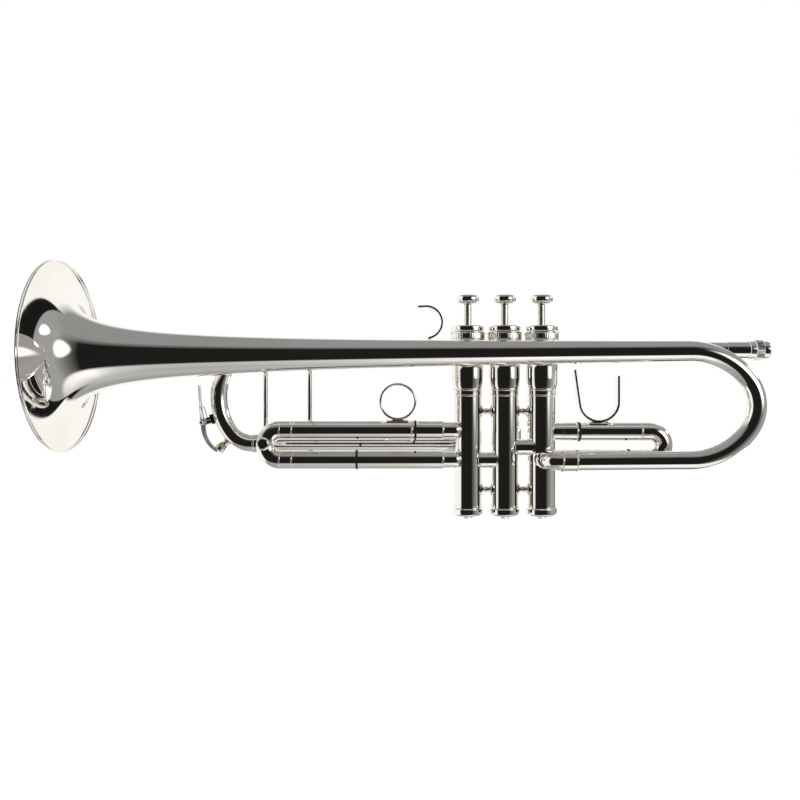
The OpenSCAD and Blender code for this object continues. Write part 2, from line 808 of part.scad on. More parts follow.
module third_slide_bow() {
    silver() difference() {
        union() {
            bend_xz(third_bow_x, third_y0, third_mid, third_half, 90, 180, sleeve_r, bore_r);
            for (z = [third_top_z, third_low_z]) {
                tube_x(third_bow_x, third_joint_x - solder_gap, third_y0, z, sleeve_r, bore_r);
                tube_x(third_bow_x - 0.5, third_bow_x + 0.5, third_y0, z, sleeve_r + 0.25, bore_r + 0.2);
            }
        }
        rod_y(drain_x, third_y0 - 20, third_y0 + 20, drain_z, drain_r + solder_gap);
    }
}

module finger_ring() {
    top = third_top_z + sleeve_r;
    cz = top + 0.55 + ring_r;
    silver() difference() {
        union() {
            band_xz(ring_x, third_y0, cz, ring_r - 1.1, ring_r, 0, 360, ring_w);
            saddle_x(ring_x - 7.5, ring_x + 7, third_y0, third_top_z,
                sleeve_r + solder_gap, sleeve_r + 0.8, 90, 30);
            translate([ring_x - 3, third_y0 - ring_w / 2 + 0.5, top]) cube([6, ring_w - 1, 1.2]);
        }
        rod_x(ring_x - 20, ring_x + 20, third_y0, third_top_z, sleeve_r + solder_gap);
        rod_y(ring_x, third_y0 - 10, third_y0 + 10, cz, ring_r - 1.1);
    }
}

module drain_barrel() {
    y0 = third_y0 - drain_len / 2;
    silver() difference() {
        rod_y(drain_x, y0, y0 + drain_len, drain_z, drain_r);
        rod_y(drain_x, y0 - 1, y0 + 3.4, drain_z, 3.9);
        rod_y(drain_x, y0 + 3, y0 + drain_len + 1, drain_z, 2.6);
    }
}

module drain_button() {
    y0 = third_y0 - drain_len / 2;
    nickel() {
        rod_y(drain_x, y0 - 0.6, y0 + 0.9, drain_z, 3.5);
        rod_y(drain_x, y0 + 0.8, y0 + drain_len - drain_stroke, drain_z, 2.6 - slide_fit);
    }
}

module first_slide_tubes() {
    g = 0.1 + bumper_w + free_gap;
    x0 = first_stop_low + g;
    silver() {
        beaded_tube(first_stop_top + g, first_joint_x, 0, first_top_z, first_joint_x - 0.7);
        translate([40, 0, first_low_z]) rotate([0, 90, 0]) rotate_extrude() polygon([
            [bore_r, 0], [inner_r, 0], [inner_r, x0 - 40], [sleeve_r, x0 - 40],
            [sleeve_r, first_joint_x - 40], [bore_r, first_joint_x - 40]
        ]);
    }
}

module first_slide_bow() {
    silver() {
        bend_xz(first_bow_x, 0, first_mid, first_half, -90, 180, sleeve_r, bore_r);
        for (z = [first_top_z, first_low_z]) {
            tube_x(first_joint_x + solder_gap, first_bow_x, 0, z, sleeve_r, bore_r);
        }
    }
}

module thumb_saddle() {
    t = 1.6;
    top = first_top_z + sleeve_r;
    cz = top + 0.4 + saddle_r + t;
    silver() difference() {
        union() {
            band_xz(saddle_x, 0, cz, saddle_r, saddle_r + t, 180, 180, saddle_w);
            translate([saddle_x - saddle_r - t, -saddle_w / 2, cz]) rotate([0, -8, 0]) {
                translate([0.1, 0, -1]) cube([t, saddle_w, 24.6]);
            }
            translate([saddle_x + saddle_r, -saddle_w / 2, cz]) cube([t, saddle_w, 17.5]);
            translate([saddle_x - 4, -saddle_w / 2 + 1, top - 0.6]) cube([8, saddle_w - 2, 2]);
            saddle_x(saddle_x - 7, saddle_x + 6, 0, first_top_z,
                sleeve_r + solder_gap, sleeve_r + 0.8, 90, 40);
        }
        rod_x(saddle_x - 20, saddle_x + 20, 0, first_top_z, sleeve_r + solder_gap);
    }
}

module second_slide_legs() {
    nickel() rotate([0, 0, second_turn]) for (z = [second_top_z, second_low_z]) {
        tube_x(casing_r + 1.2, second_end + 3, 0, z, inner_r, bore_r);
    }
}

module second_slide_bow() {
    x0 = second_end + free_gap;
    mid = (second_top_z + second_low_z) / 2;
    silver() rotate([0, 0, second_turn]) {
        difference() {
            union() {
                bend_xz(x0 + 4, 0, mid, second_half, -90, 180, sleeve_r, bore_r);
                for (z = [second_top_z, second_low_z]) tube_x(x0, x0 + 4, 0, z, sleeve_r, bore_r);
                translate([x0 + 4 + second_half + bore_r + 0.3, 0, mid]) rotate([0, 90, 0]) rotate_extrude()
                    polygon([[0, 0], [1.6, 0], [1.6, 3], [3, 4], [3.2, 5.5], [2.4, 7], [0, 7.4]]);
            }
            for (z = [second_top_z, second_low_z]) {
                rod_x(x0 - 1, second_end + 3 + solder_gap, 0, z, inner_r + solder_gap);
            }
        }
    }
}

module tuning_slide_bow() {
    silver() translate([tuning_x, lead_y, tuning_mid]) mirror([1, 0, 0]) {
        arch_tube(tuning_half, tuning_stretch, bend_r, bore_r);
    }
}

module tuning_slide_legs() {
    x0 = tuning_x + solder_gap;
    nickel() for (z = [lead_z, lower_z]) translate([x0, lead_y, z]) rotate([0, 90, 0]) {
        rotate_extrude() polygon([
            [bore_r, 0], [bend_r + 0.2, 0], [bend_r + 0.5, 0.4], [bend_r + 0.5, 1.2], [bend_r + 0.2, 1.6],
            [bend_r + 0.2, 4.6], [inner_r, 5], [inner_r, 95], [bore_r, 95]
        ]);
    }
}

module tuning_slide_brace() {
    x = (tuning_x + 5 + sleeve_end_x) / 2;
    silver() difference() {
        brace_rod([x, lead_y, lower_z + 4], [x, lead_y, lead_z - 4], 1.6, 2.6);
        rod_x(x - 10, x + 10, lead_y, lower_z, inner_r + solder_gap);
        rod_x(x - 10, x + 10, lead_y, lead_z, inner_r + solder_gap);
    }
}

// Frame on the tuning bow's skin: X points away from the bow along an angle
module skin_frame(cx, cz, a) {
    translate([cx, lead_y, cz]) rotate([0, -a, 0]) children();
}

module water_key_saddle() {
    r0 = tuning_tip_r + bend_r - 2;
    ear = lever_w / 2 + 0.3;
    silver() {
        difference() {
            skin_frame(tip_x, tuning_mid, hinge_a) union() {
                for (s = [-1, 1]) {
                    translate([r0, s * (ear + 0.6) - 0.6, -2.2]) cube([hinge_d - r0, 1.2, 4.4]);
                    rod_y(hinge_d, s * (ear + 0.6) - 0.6, s * (ear + 0.6) + 0.6, 0, 2.2);
                }
                translate([r0, -ear - 1.2, -3.4]) cube([3.2, 2 * ear + 2.4, 6.8]);
            }
            bend_solid_xz(tip_x, lead_y, tuning_mid, tuning_tip_r, 180, 40, bend_r + solder_gap);
            rod_y(hinge_x, lead_y - 20, lead_y + 20, hinge_z, hinge_r + solder_gap);
        }
        difference() {
            skin_frame(drip_x, drip_z, drip_a) rotate([0, 90, 0]) difference() {
                cylinder(h = drip_d + 2.6, r = 2.4);
                translate([0, 0, -1]) cylinder(h = drip_d + 6, r = 1.4);
                cylinder(h = tuning_corner, r = 8);
            }
            bend_solid_xz(drip_x, lead_y, drip_z, tuning_corner, 200, 60, bend_r + solder_gap);
        }
    }
}

module water_key_pin() {
    end = key_coil_y + key_coil_h + 0.7;
    nickel() {
        rod_y(hinge_x, lead_y - end - 0.3, lead_y + end, hinge_z, hinge_r);
        rod_y(hinge_x, lead_y - end - 1.3, lead_y - end, hinge_z, 1.9);
    }
}

module water_key_lever() {
    cx = hinge_x + 19.9;
    cz = hinge_z - 2;
    w = lever_w;
    silver() difference() {
        union() {
            band_xz(cx, lead_y, cz, 20.3, 21.3, 172, 68.6, w - 0.6);
            rod_y(hinge_x, lead_y - w / 2, lead_y + w / 2, hinge_z, 1.9);
            translate([hinge_x - 0.9, lead_y - w / 2 + 0.3, hinge_z]) rotate([0, -3.6, 0]) {
                translate([-0.9, 0, 0]) cube([1, w - 0.6, 26]);
            }
            skin_frame(drip_x, drip_z, drip_a) rod_x(drip_d + 4, drip_d + 9.6, 0, 0, 3.5);
        }
        skin_frame(drip_x, drip_z, drip_a) rod_x(drip_d, drip_d + 7, 0, 0, 2.9);
        rod_y(hinge_x, lead_y - 20, lead_y + 20, hinge_z, hinge_r + slide_fit);
    }
}

module water_key_cork() {
    color([0.78, 0.6, 0.38]) skin_frame(drip_x, drip_z, drip_a) {
        rod_x(drip_d + 2.6 + free_gap, drip_d + 7 - solder_gap, 0, 0, 2.9 - solder_gap);
    }
}

// Half of the key's wire spring: end leg, coil round the hinge screw, leg up to the bridge
function key_wire_half() = let (
    up = [-sin(key_lean), 0, cos(key_lean)],
    leave = [key_coil_r * cos(key_lean), key_coil_y, key_coil_r * sin(key_lean)],
    top = leave + up * ((key_bridge_z - leave[2]) / up[2])
) concat(
    [[6, key_coil_y + key_coil_h, key_coil_r]],
    [for (i = [0 : key_rings]) let (t = key_sweep * i / key_rings)
        [key_coil_r * cos(90 + t), key_coil_y + key_coil_h - key_pitch * t / 360, key_coil_r * sin(90 + t)]],
    [for (t = [0 : 30 : 90]) top + up * (sin(t) - 1) - [0, 1 - cos(t), 0]]
);

// Both halves as one run of points
function key_wire() = let (h = key_wire_half(), n = len(h)) concat(
    h, [for (i = [1 : n]) [h[n - i][0], -h[n - i][1], h[n - i][2]]]
);

function unit(v) = v / norm(v);

// Round wire along points, its sides set by a normal for each point
module wire_tube(pts, normals, r) {
    sides = 6;
    n = len(pts);
    ring = [
        for (i = [0 : n - 1]) let (
            t = unit(pts[min(i + 1, n - 1)] - pts[max(i - 1, 0)]),
            u = unit(normals[i] - t * (normals[i] * t)),
            v = cross(t, u)
        ) for (j = [0 : sides - 1]) pts[i] + r * (cos(60 * j) * u + sin(60 * j) * v)
    ];
    walls = [
        for (i = [0 : n - 2]) for (j = [0 : sides - 1]) let (
            k = (j + 1) % sides, a = i * sides + j, b = i * sides + k, c = a + sides, d = b + sides
        ) for (f = [[a, c, b], [b, c, d]]) f
    ];
    caps = [for (j = [1 : sides - 2]) for (f = [
        [0, j, j + 1], [(n - 1) * sides, (n - 1) * sides + j + 1, (n - 1) * sides + j]
    ]) f];
    polyhedron(points = ring, faces = concat(walls, caps), convexity = 8);
}

module water_key_spring() {
    pts = key_wire();
    n = len(pts);
    half = n / 2;
    up = [-sin(key_lean), 0, cos(key_lean)];
    flat = cross(up, [0, 1, 0]);
    normals = [for (i = [0 : n - 1]) i < half - 4 ? [0, 1, 0] : i > half + 3 ? [0, -1, 0]
        : cross(flat, pts[min(i + 1, n - 1)] - pts[max(i - 1, 0)])];
    gaps = [for (i = [0 : n - 1]) for (j = [i + 6 : 1 : n - 1]) norm(pts[i] - pts[j]) - 2 * key_wire_r];
    echo(key_spring_least_gap = min(gaps));
    color([0.6, 0.6, 0.62]) translate([hinge_x, lead_y, hinge_z]) wire_tube(pts, normals, key_wire_r);
}

bell();
bell_rim_wire();
bell_bow();
bell_tail_ferrule();
bell_elbow();
body_braces();
leadpipe();
mouthpiece_receiver();
pinky_hook();
tuning_sleeves();
entry_elbow();
valve_casing_1();
valve_casing_2();
valve_casing_3();
top_cap_1();
top_cap_2();
top_cap_3();
bottom_caps();
valve_knuckles();
casing_braces();
third_slide_ports();
first_slide_ports();
second_slide_ports();
slide_inner_tubes();
slide_bumpers();
cap_felts();
valve_guides();
piston_1();
piston_2();
piston_3();
valve_stem_1();
valve_stem_2();
valve_stem_3();
finger_button_1();
finger_button_2();
finger_button_3();
pearl_inlay_1();
pearl_inlay_2();
pearl_inlay_3();
valve_spring_1();
valve_spring_2();
valve_spring_3();
third_slide_tubes();
third_slide_bow();
finger_ring();
drain_barrel();
drain_button();
first_slide_tubes();
first_slide_bow();
thumb_saddle();
second_slide_legs();
second_slide_bow();
tuning_slide_bow();
tuning_slide_legs();
tuning_slide_brace();
water_key_saddle();
water_key_pin();
water_key_lever();
water_key_cork();
water_key_spring();
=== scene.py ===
import math
import bmesh
import bpy
from mathutils import Matrix, Vector


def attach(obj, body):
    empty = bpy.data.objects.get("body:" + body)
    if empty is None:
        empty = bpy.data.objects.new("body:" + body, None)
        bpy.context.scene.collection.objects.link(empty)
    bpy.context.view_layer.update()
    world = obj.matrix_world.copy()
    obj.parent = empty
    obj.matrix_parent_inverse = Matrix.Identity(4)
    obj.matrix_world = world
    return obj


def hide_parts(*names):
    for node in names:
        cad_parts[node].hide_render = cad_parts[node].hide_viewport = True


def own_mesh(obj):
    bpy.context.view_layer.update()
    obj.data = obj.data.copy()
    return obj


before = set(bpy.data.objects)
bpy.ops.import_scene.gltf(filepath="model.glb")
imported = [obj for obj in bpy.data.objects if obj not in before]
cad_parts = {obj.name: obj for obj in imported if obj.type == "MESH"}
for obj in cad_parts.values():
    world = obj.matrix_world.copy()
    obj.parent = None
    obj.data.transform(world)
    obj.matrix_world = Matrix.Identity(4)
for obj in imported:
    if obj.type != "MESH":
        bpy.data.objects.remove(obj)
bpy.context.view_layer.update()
mm = 0.001
scene = bpy.context.scene
print("frame loaded,", len(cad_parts), "nodes")

# camera, level and square to the valves
sideView = {"spot": (-70.3, -524.0, 15.0), "lens": 35.06, "sensor": 36.0, "clip": (0.01, 20.0)}
cameraData = bpy.data.cameras.new("sideCamera")
cameraData.lens, cameraData.sensor_width = sideView["lens"], sideView["sensor"]
cameraData.clip_start, cameraData.clip_end = sideView["clip"]
cameraData.dof.use_dof = False
camera = bpy.data.objects.new("sideCamera", cameraData)
camera.location = Vector(sideView["spot"]) * mm
camera.rotation_euler = (math.radians(90), 0, 0)
scene.collection.objects.link(camera)
scene.camera = camera
scene.view_settings.view_transform = "Standard"


# small node helpers
def newNodes(tree, kinds):
    return {key: tree.nodes.new("ShaderNode" + kind) for key, kind in kinds.items()}


def newFinish(name, kinds):
    finish = bpy.data.materials.new(name)
    finish.use_nodes = True
    n = newNodes(finish.node_tree, kinds)
    n["skin"] = finish.node_tree.nodes["Principled BSDF"]
    return finish, n


def setInputs(node, values):
    for socket, value in values.items():
        node.inputs[socket].default_value = value


def wire(tree, n, rows):
    # each row is node, output, node, input
    for source, out, goal, into in rows:
        tree.links.new(n[source].outputs[out], n[goal].inputs[into])


def rampStops(node, stops):
    parts = node.color_ramp.elements
    while len(parts) > 1:
        parts.remove(parts[-1])
    parts[0].position = stops[0][0]
    parts[0].color = (*stops[0][1], 1)
    for place, shade in stops[1:]:
        parts.new(place).color = (*shade, 1)


# studio: white sweep behind and at the left, dark room in front, grey ceiling, pale floor
studio = {
    "warmth": (1.0, 0.986, 0.957), "ceiling": 0.29, "underfoot": 0.5, "sweepLean": 0.36,
    "fades": {"top": (33, 52), "low": (-40, -48), "foot": (-62, -86), "sweep": (146, 147)},
    "around": [(-180, 1.0), (-66, 0.97), (-58, 0.014), (27, 0.012), (37, 0.09), (78, 0.36), (127, 0.34),
               (127.5, 0.01), (180, 0.01)],
    "below": [(-180, 0.36), (-60, 0.34), (-25, 0.38), (0, 0.66), (18, 1.08), (80, 0.95), (127, 0.6),
              (127.5, 0.012), (146, 0.012), (147, 0.36), (180, 0.36)],
}


def buildWorld(look):
    world = bpy.data.worlds.new("studioWorld")
    scene.world = world
    world.use_nodes = True
    tree = world.node_tree
    tree.nodes.clear()
    n = newNodes(tree, {
        "where": "TexCoord", "split": "SeparateXYZ", "flip": "Math", "turn": "Math", "rise": "Math",
        "tilt": "Math", "leaned": "Math", "turnUnit": "MapRange", "top": "MapRange", "low": "MapRange",
        "foot": "MapRange", "sweep": "MapRange", "around": "ValToRGB", "below": "ValToRGB", "addSweep": "Mix",
        "addFoot": "Mix", "addLow": "Mix", "addTop": "Mix", "pick": "Mix", "path": "LightPath",
        "glow": "Background", "out": "OutputWorld"})
    for key, task in (("flip", "MULTIPLY"), ("turn", "ARCTAN2"), ("rise", "ARCSINE"), ("tilt", "ABSOLUTE"),
                      ("leaned", "MULTIPLY_ADD")):
        n[key].operation = task
    n["flip"].inputs[1].default_value = -1.0
    n["leaned"].inputs[1].default_value = look["sweepLean"]
    setInputs(n["turnUnit"], {"From Min": -math.pi, "From Max": math.pi})
    for key, (start, end) in look["fades"].items():
        setInputs(n[key], {"From Min": math.radians(start), "From Max": math.radians(end)})
    for key in ("around", "below"):
        rampStops(n[key], [((a + 180) / 360, [g * tint for tint in look["warmth"]]) for a, g in look[key]])
    for key in ("addSweep", "addFoot", "addLow", "addTop", "pick"):
        n[key].data_type = "RGBA"
    for key, shade in (("addSweep", look["warmth"]), ("addFoot", (look["underfoot"],) * 3),
                       ("addTop", (look["ceiling"],) * 3), ("pick", (1, 1, 1))):
        n[key].inputs["B"].default_value = (*shade, 1)
    wire(tree, n, [
        ("where", "Generated", "split", 0), ("split", "Y", "flip", 0), ("split", "X", "turn", 0),
        ("flip", 0, "turn", 1), ("split", "Z", "rise", 0), ("rise", 0, "tilt", 0), ("tilt", 0, "leaned", 0),
        ("turn", 0, "leaned", 2), ("turn", 0, "turnUnit", "Value"), ("turnUnit", 0, "around", 0),
        ("turnUnit", 0, "below", 0), ("rise", 0, "top", "Value"), ("rise", 0, "low", "Value"),
        ("rise", 0, "foot", "Value"), ("leaned", 0, "sweep", "Value"), ("sweep", 0, "addSweep", "Factor"),
        ("around", 0, "addSweep", "A"), ("foot", 0, "addFoot", "Factor"), ("below", 0, "addFoot", "A"),
        ("low", 0, "addLow", "Factor"), ("addSweep", "Result", "addLow", "A"),
        ("addFoot", "Result", "addLow", "B"), ("top", 0, "addTop", "Factor"),
        ("addLow", "Result", "addTop", "A"), ("path", "Is Camera Ray", "pick", "Factor"),
        ("addTop", "Result", "pick", "A"), ("pick", "Result", "glow", "Color"),
        ("glow", 0, "out", "Surface")])


buildWorld(studio)

# round lamps at the right with soft rims, seen again in the back of the bell
lamps = {
    "farHigh": {"way": (0.896, 0.315, 0.328), "reach": 2.4, "size": (1.2, 0.38), "roll": -23, "power": 3.9},
    "nearHigh": {"way": (0.829, -0.514, 0.219), "reach": 2.4, "size": (2.1, 1.6), "roll": 0, "power": 20.0},
    "farLow": {"way": (0.823, 0.472, -0.316), "reach": 1.0, "size": (0.5, 0.16), "roll": 23, "power": 0.7},
}
lampAim = Vector((-0.283, -0.030, 0.047))
lampFade = {"From Min": 0.5, "From Max": 0.15}  # dark at the rim, full inside this share of the width
for lampName, lamp in lamps.items():
    lampData = bpy.data.lights.new(lampName, "AREA")
    lampData.shape = "ELLIPSE"
    lampData.size, lampData.size_y = lamp["size"]
    lampData.energy = lamp["power"]
    lampData.use_nodes = True
    n = newNodes(lampData.node_tree, {"spot": "NewGeometry", "off": "VectorMath", "fade": "MapRange"})
    n["glow"] = lampData.node_tree.nodes["Emission"]
    n["off"].operation = "DISTANCE"
    n["off"].inputs[1].default_value = (0.5, 0.5, 0)
    n["fade"].interpolation_type = "SMOOTHSTEP"
    setInputs(n["fade"], lampFade)
    wire(lampData.node_tree, n, [("spot", "Parametric", "off", 0), ("off", "Value", "fade", "Value"),
                                 ("fade", 0, "glow", "Strength")])
    lampObject = bpy.data.objects.new(lampName, lampData)
    away = Vector(lamp["way"]).normalized()
    lampObject.location = lampAim + away * lamp["reach"]
    roll = Matrix.Rotation(math.radians(lamp["roll"]), 3, "Z")
    lampObject.rotation_euler = (away.to_track_quat("Z", "Y").to_matrix() @ roll).to_euler()
    scene.collection.objects.link(lampObject)

# pale floor well under the instrument; the plating mirrors the room instead of it
floorLook = {"height": -0.34, "radius": 4.0, "shade": 0.8, "rough": 0.9, "seen": 0.75}
bm = bmesh.new()
bmesh.ops.create_circle(bm, cap_ends=True, segments=128, radius=floorLook["radius"])
bmesh.ops.translate(bm, verts=bm.verts, vec=(0, 0, floorLook["height"]))
floorMesh = bpy.data.meshes.new("studioFloor")
bm.to_mesh(floorMesh)
bm.free()
floor = bpy.data.objects.new("studioFloor", floorMesh)
scene.collection.objects.link(floor)
floor.visible_glossy = False
floorPaint, n = newFinish("paleFloor", {"rays": "LightPath", "lift": "Math"})
n["lift"].operation = "MULTIPLY"
n["lift"].inputs[1].default_value = floorLook["seen"]
setInputs(n["skin"], {"Base Color": (floorLook["shade"],) * 3 + (1,), "Roughness": floorLook["rough"],
                      "Specular IOR Level": 0.0, "Emission Color": (1, 1, 1, 1)})
wire(floorPaint.node_tree, n, [("rays", "Is Camera Ray", "lift", 0),
                               ("lift", 0, "skin", "Emission Strength")])
floorMesh.materials.append(floorPaint)
print("camera, studio and floor set")


# finishes: plated metals, and the soft or moulded ones
def metalFinish(name, look):
    finish, n = newFinish(name, {
        "where": "TexCoord", "cloud": "TexNoise", "buff": "TexNoise", "wave": "TexNoise", "tint": "ValToRGB",
        "rough": "MapRange", "bump": "Bump"})
    n["skin"].inputs["Metallic"].default_value = 1.0
    for key, detail in (("cloud", 4), ("buff", 3), ("wave", 2)):
        setInputs(n[key], {"Scale": look[key], "Detail": detail})
    rampStops(n["tint"], [(0.3, look["deep"]), (0.52, look["bright"]), (0.8, look["bright"])])
    setInputs(n["rough"], {"From Min": 0.3, "From Max": 0.7, "To Min": look["rough"][0],
                           "To Max": look["rough"][1]})
    setInputs(n["bump"], {"Strength": look["bump"], "Distance": 0.0005})
    wire(finish.node_tree, n, [
        ("where", "Object", "cloud", "Vector"), ("where", "Object", "buff", "Vector"),
        ("where", "Object", "wave", "Vector"), ("cloud", "Fac", "tint", 0), ("tint", 0, "skin", "Base Color"),
        ("buff", "Fac", "rough", "Value"), ("rough", 0, "skin", "Roughness"),
        ("wave", "Fac", "bump", "Height"), ("bump", 0, "skin", "Normal")])
    return finish


def softFinish(name, look):
    finish, n = newFinish(name, {
        "where": "TexCoord", "grain": "TexNoise", "cells": "TexVoronoi", "mix": "Math", "tint": "ValToRGB",
        "rough": "MapRange", "bump": "Bump"})
    setInputs(n["grain"], {"Scale": look["grain"], "Detail": 6, "Distortion": look["swirl"]})
    n["cells"].inputs["Scale"].default_value = look["cells"]
    n["mix"].operation = "MULTIPLY_ADD"
    n["mix"].inputs[1].default_value = look["cellShare"]
    rampStops(n["tint"], look["colours"])
    setInputs(n["rough"], {"To Min": look["rough"][0], "To Max": look["rough"][1]})
    setInputs(n["skin"], {"Coat Weight": look.get("coat", 0.0), "Sheen Weight": look.get("sheen", 0.0)})
    setInputs(n["bump"], {"Strength": look["bump"], "Distance": 0.0002})
    wire(finish.node_tree, n, [
        ("where", "Object", "grain", "Vector"), ("where", "Object", "cells", "Vector"),
        ("cells", "Distance", "mix", 0), ("grain", "Fac", "mix", 2), ("mix", 0, "tint", 0),
        ("tint", 0, "skin", "Base Color"), ("grain", "Fac", "rough", "Value"),
        ("rough", 0, "skin", "Roughness"), ("mix", 0, "bump", "Height"), ("bump", 0, "skin", "Normal")])
    return finish


silverPlate = metalFinish("silverPlate", {
    "bright": (0.955, 0.94, 0.912), "deep": (0.90, 0.866, 0.806), "cloud": 22, "buff": 260, "wave": 30,
    "bump": 0.03, "rough": (0.02, 0.055)})
satinSilver = metalFinish("satinSilver", {
    "bright": (0.93, 0.9, 0.85), "deep": (0.86, 0.81, 0.74), "cloud": 60, "buff": 900, "wave": 90,
    "bump": 0.04, "rough": (0.3, 0.42)})
slideNickel = metalFinish("slideNickel", {
    "bright": (0.83, 0.83, 0.83), "deep": (0.74, 0.72, 0.69), "cloud": 30, "buff": 500, "wave": 60,
    "bump": 0.03, "rough": (0.08, 0.16)})
springWire = metalFinish("springWire", {
    "bright": (0.62, 0.61, 0.60), "deep": (0.48, 0.45, 0.42), "cloud": 160, "buff": 900, "wave": 400,
    "bump": 0.05, "rough": (0.18, 0.32)})
buttonPearl = softFinish("buttonPearl", {
    "grain": 190, "cells": 260, "cellShare": 0.25, "swirl": 2.2, "rough": (0.08, 0.2), "coat": 0.6,
    "bump": 0.05, "colours": [(0.25, (0.72, 0.74, 0.74)), (0.45, (0.9, 0.89, 0.85)),
                              (0.6, (0.93, 0.86, 0.86)), (0.8, (0.84, 0.93, 0.9))]})
blackRubber = softFinish("blackRubber", {
    "grain": 1200, "cells": 2400, "cellShare": 0.2, "swirl": 0.0, "rough": (0.45, 0.65), "bump": 0.15,
    "colours": [(0.2, (0.006, 0.006, 0.006)), (0.9, (0.02, 0.019, 0.018))]})
naturalCork = softFinish("naturalCork", {
    "grain": 900, "cells": 1500, "cellShare": 0.5, "swirl": 0.4, "rough": (0.75, 0.95), "bump": 0.6,
    "colours": [(0.3, (0.7, 0.48, 0.2)), (0.55, (0.88, 0.65, 0.32)), (0.9, (0.95, 0.75, 0.42))]})
redFelt = softFinish("redFelt", {
    "grain": 1800, "cells": 3000, "cellShare": 0.3, "swirl": 1.0, "rough": (0.85, 1.0), "sheen": 0.4,
    "bump": 0.8, "colours": [(0.25, (0.22, 0.02, 0.02)), (0.8, (0.42, 0.05, 0.045))]})
guideNylon = softFinish("guideNylon", {
    "grain": 400, "cells": 900, "cellShare": 0.1, "swirl": 0.0, "rough": (0.35, 0.5), "bump": 0.05,
    "colours": [(0.3, (0.78, 0.75, 0.66)), (0.8, (0.86, 0.84, 0.77))]})
print("finishes made")


# sizes that many pieces share, in mm
tube = {"bore": 5.4, "leg": 5.8, "sleeveIn": 5.85, "sleeve": 6.25, "bend": 6.1, "sides": 72,
        "edge": 0.05}
archTurn = (53.13, 73.74)  # corner and tip angles of the two long bows
elbow = {"radius": 9.0, "reach": 7.0}
casing = {"lower": 9.25, "bore": 8.55, "pitch": 24.75, "steps": 112}
valveX = {1: casing["pitch"], 2: 0.0, 3: -casing["pitch"]}
upward = (0, 0, 1)
weld = 1e-6  # points closer than this are one, in metres
crease = math.radians(38)  # edges sharper than this keep a hard line
rodSteps = 48  # lathe steps of rods, posts and knobs
stripCorner = 50  # degrees; sharper corners of a bent strip are rounded


# bench tools: lathe, tube bender, strip bender
def onlyEdges(geom):
    return [g for g in geom if isinstance(g, bmesh.types.BMEdge)]


def spinRound(bm, geom, centre, axis, degrees, steps, merge=False, lift=(0, 0, 0)):
    made = bmesh.ops.spin(bm, geom=geom, cent=centre, axis=axis, dvec=lift, angle=math.radians(degrees),
                          steps=steps, use_merge=merge, use_normal_flip=False, use_duplicate=False)
    return made["geom_last"]


def bevelEdges(bm, edges, size, segments):
    bmesh.ops.bevel(bm, geom=edges, offset=size * mm, offset_type="OFFSET", affect="EDGES", segments=segments,
                    profile=0.5, clamp_overlap=True, material=-1)


def outline(bm, points):
    corners = [bm.verts.new(point) for point in points]
    return corners, [bm.edges.new(pair) for pair in zip(corners, corners[1:] + corners[:1])]


def axisPlace(at, axis):
    # Z along the axis, from a point in mm
    return Matrix.Translation(Vector(at) * mm) @ axis.to_track_quat("Z", "Y").to_matrix().to_4x4()


def turn(bm, profile, at=(0, 0, 0), along=(1, 0, 0), steps=96, closed=True):
    # profile is (distance along the axis, radius)
    axis = Vector(along).normalized()
    place = axisPlace(at, axis)
    corners, edges = outline(bm, [place @ Vector((r * mm, 0, d * mm)) for d, r in profile])
    if not closed:
        bm.edges.remove(edges.pop())
    spinRound(bm, corners + edges, Vector(at) * mm, axis, 360, steps, True)


def bead(start, end, base, height, points=7):
    # half-round raised ring between two places on a profile
    return [(start + (end - start) * (0.5 - 0.5 * math.cos(math.pi * i / points)),
             base + height * math.sin(math.pi * i / points)) for i in range(points + 1)]


def pipeProfile(length, outer, inner, skin=()):
    # straight tube; skin holds its beads
    return [(0, inner), (0, outer), *skin, (length, outer), (length, inner)]


def pushOn(bm, edges, spot, way, legs):
    # legs are (length,) for a straight run, or (degrees, radius, axis) for a bend
    for leg in legs:
        if len(leg) == 1:
            made = bmesh.ops.extrude_edge_only(bm, edges=edges)["geom"]
            verts = [g for g in made if isinstance(g, bmesh.types.BMVert)]
            bmesh.ops.translate(bm, verts=verts, vec=way * leg[0] * mm)
            spot = spot + way * leg[0] * mm
            last = set(verts)
            edges = [e for e in onlyEdges(made) if set(e.verts) <= last]
        else:
            degrees, radius, axis = leg[0], leg[1], Vector(leg[2]).normalized()
            centre = spot + axis.cross(way) * radius * mm
            verts = list({v for e in edges for v in e.verts})
            edges = onlyEdges(spinRound(bm, verts + edges, centre, axis, degrees, max(5, round(degrees / 3))))
            swing = Matrix.Rotation(math.radians(degrees), 3, axis)
            spot, way = centre + swing @ (spot - centre), swing @ way
    return edges


def joinRings(bm, outerEdges, innerEdges):
    # end wall of a tube, each point to its nearest; bridge_loops twists rings that share a centre
    innerPoints = {v for e in innerEdges for v in e.verts}
    partner = {v: min(innerPoints, key=lambda w: (w.co - v.co).length) for e in outerEdges for v in e.verts}
    for a, b in [e.verts for e in outerEdges]:
        bm.faces.new((a, b, partner[b], partner[a]))


def runTube(bm, start, heading, legs, outer, inner, sides=56):
    way = Vector(heading).normalized()
    place = axisPlace(start, way)
    skins = []
    for radius in (outer, inner):
        ring = bmesh.ops.create_circle(bm, cap_ends=False, segments=sides, radius=radius * mm)["verts"]
        bmesh.ops.transform(bm, matrix=place, verts=ring)
        edges = list({e for v in ring for e in v.link_edges})
        skins.append((edges, pushOn(bm, edges, Vector(start) * mm, way, legs)))
    for ends in zip(*skins):
        joinRings(bm, *ends)


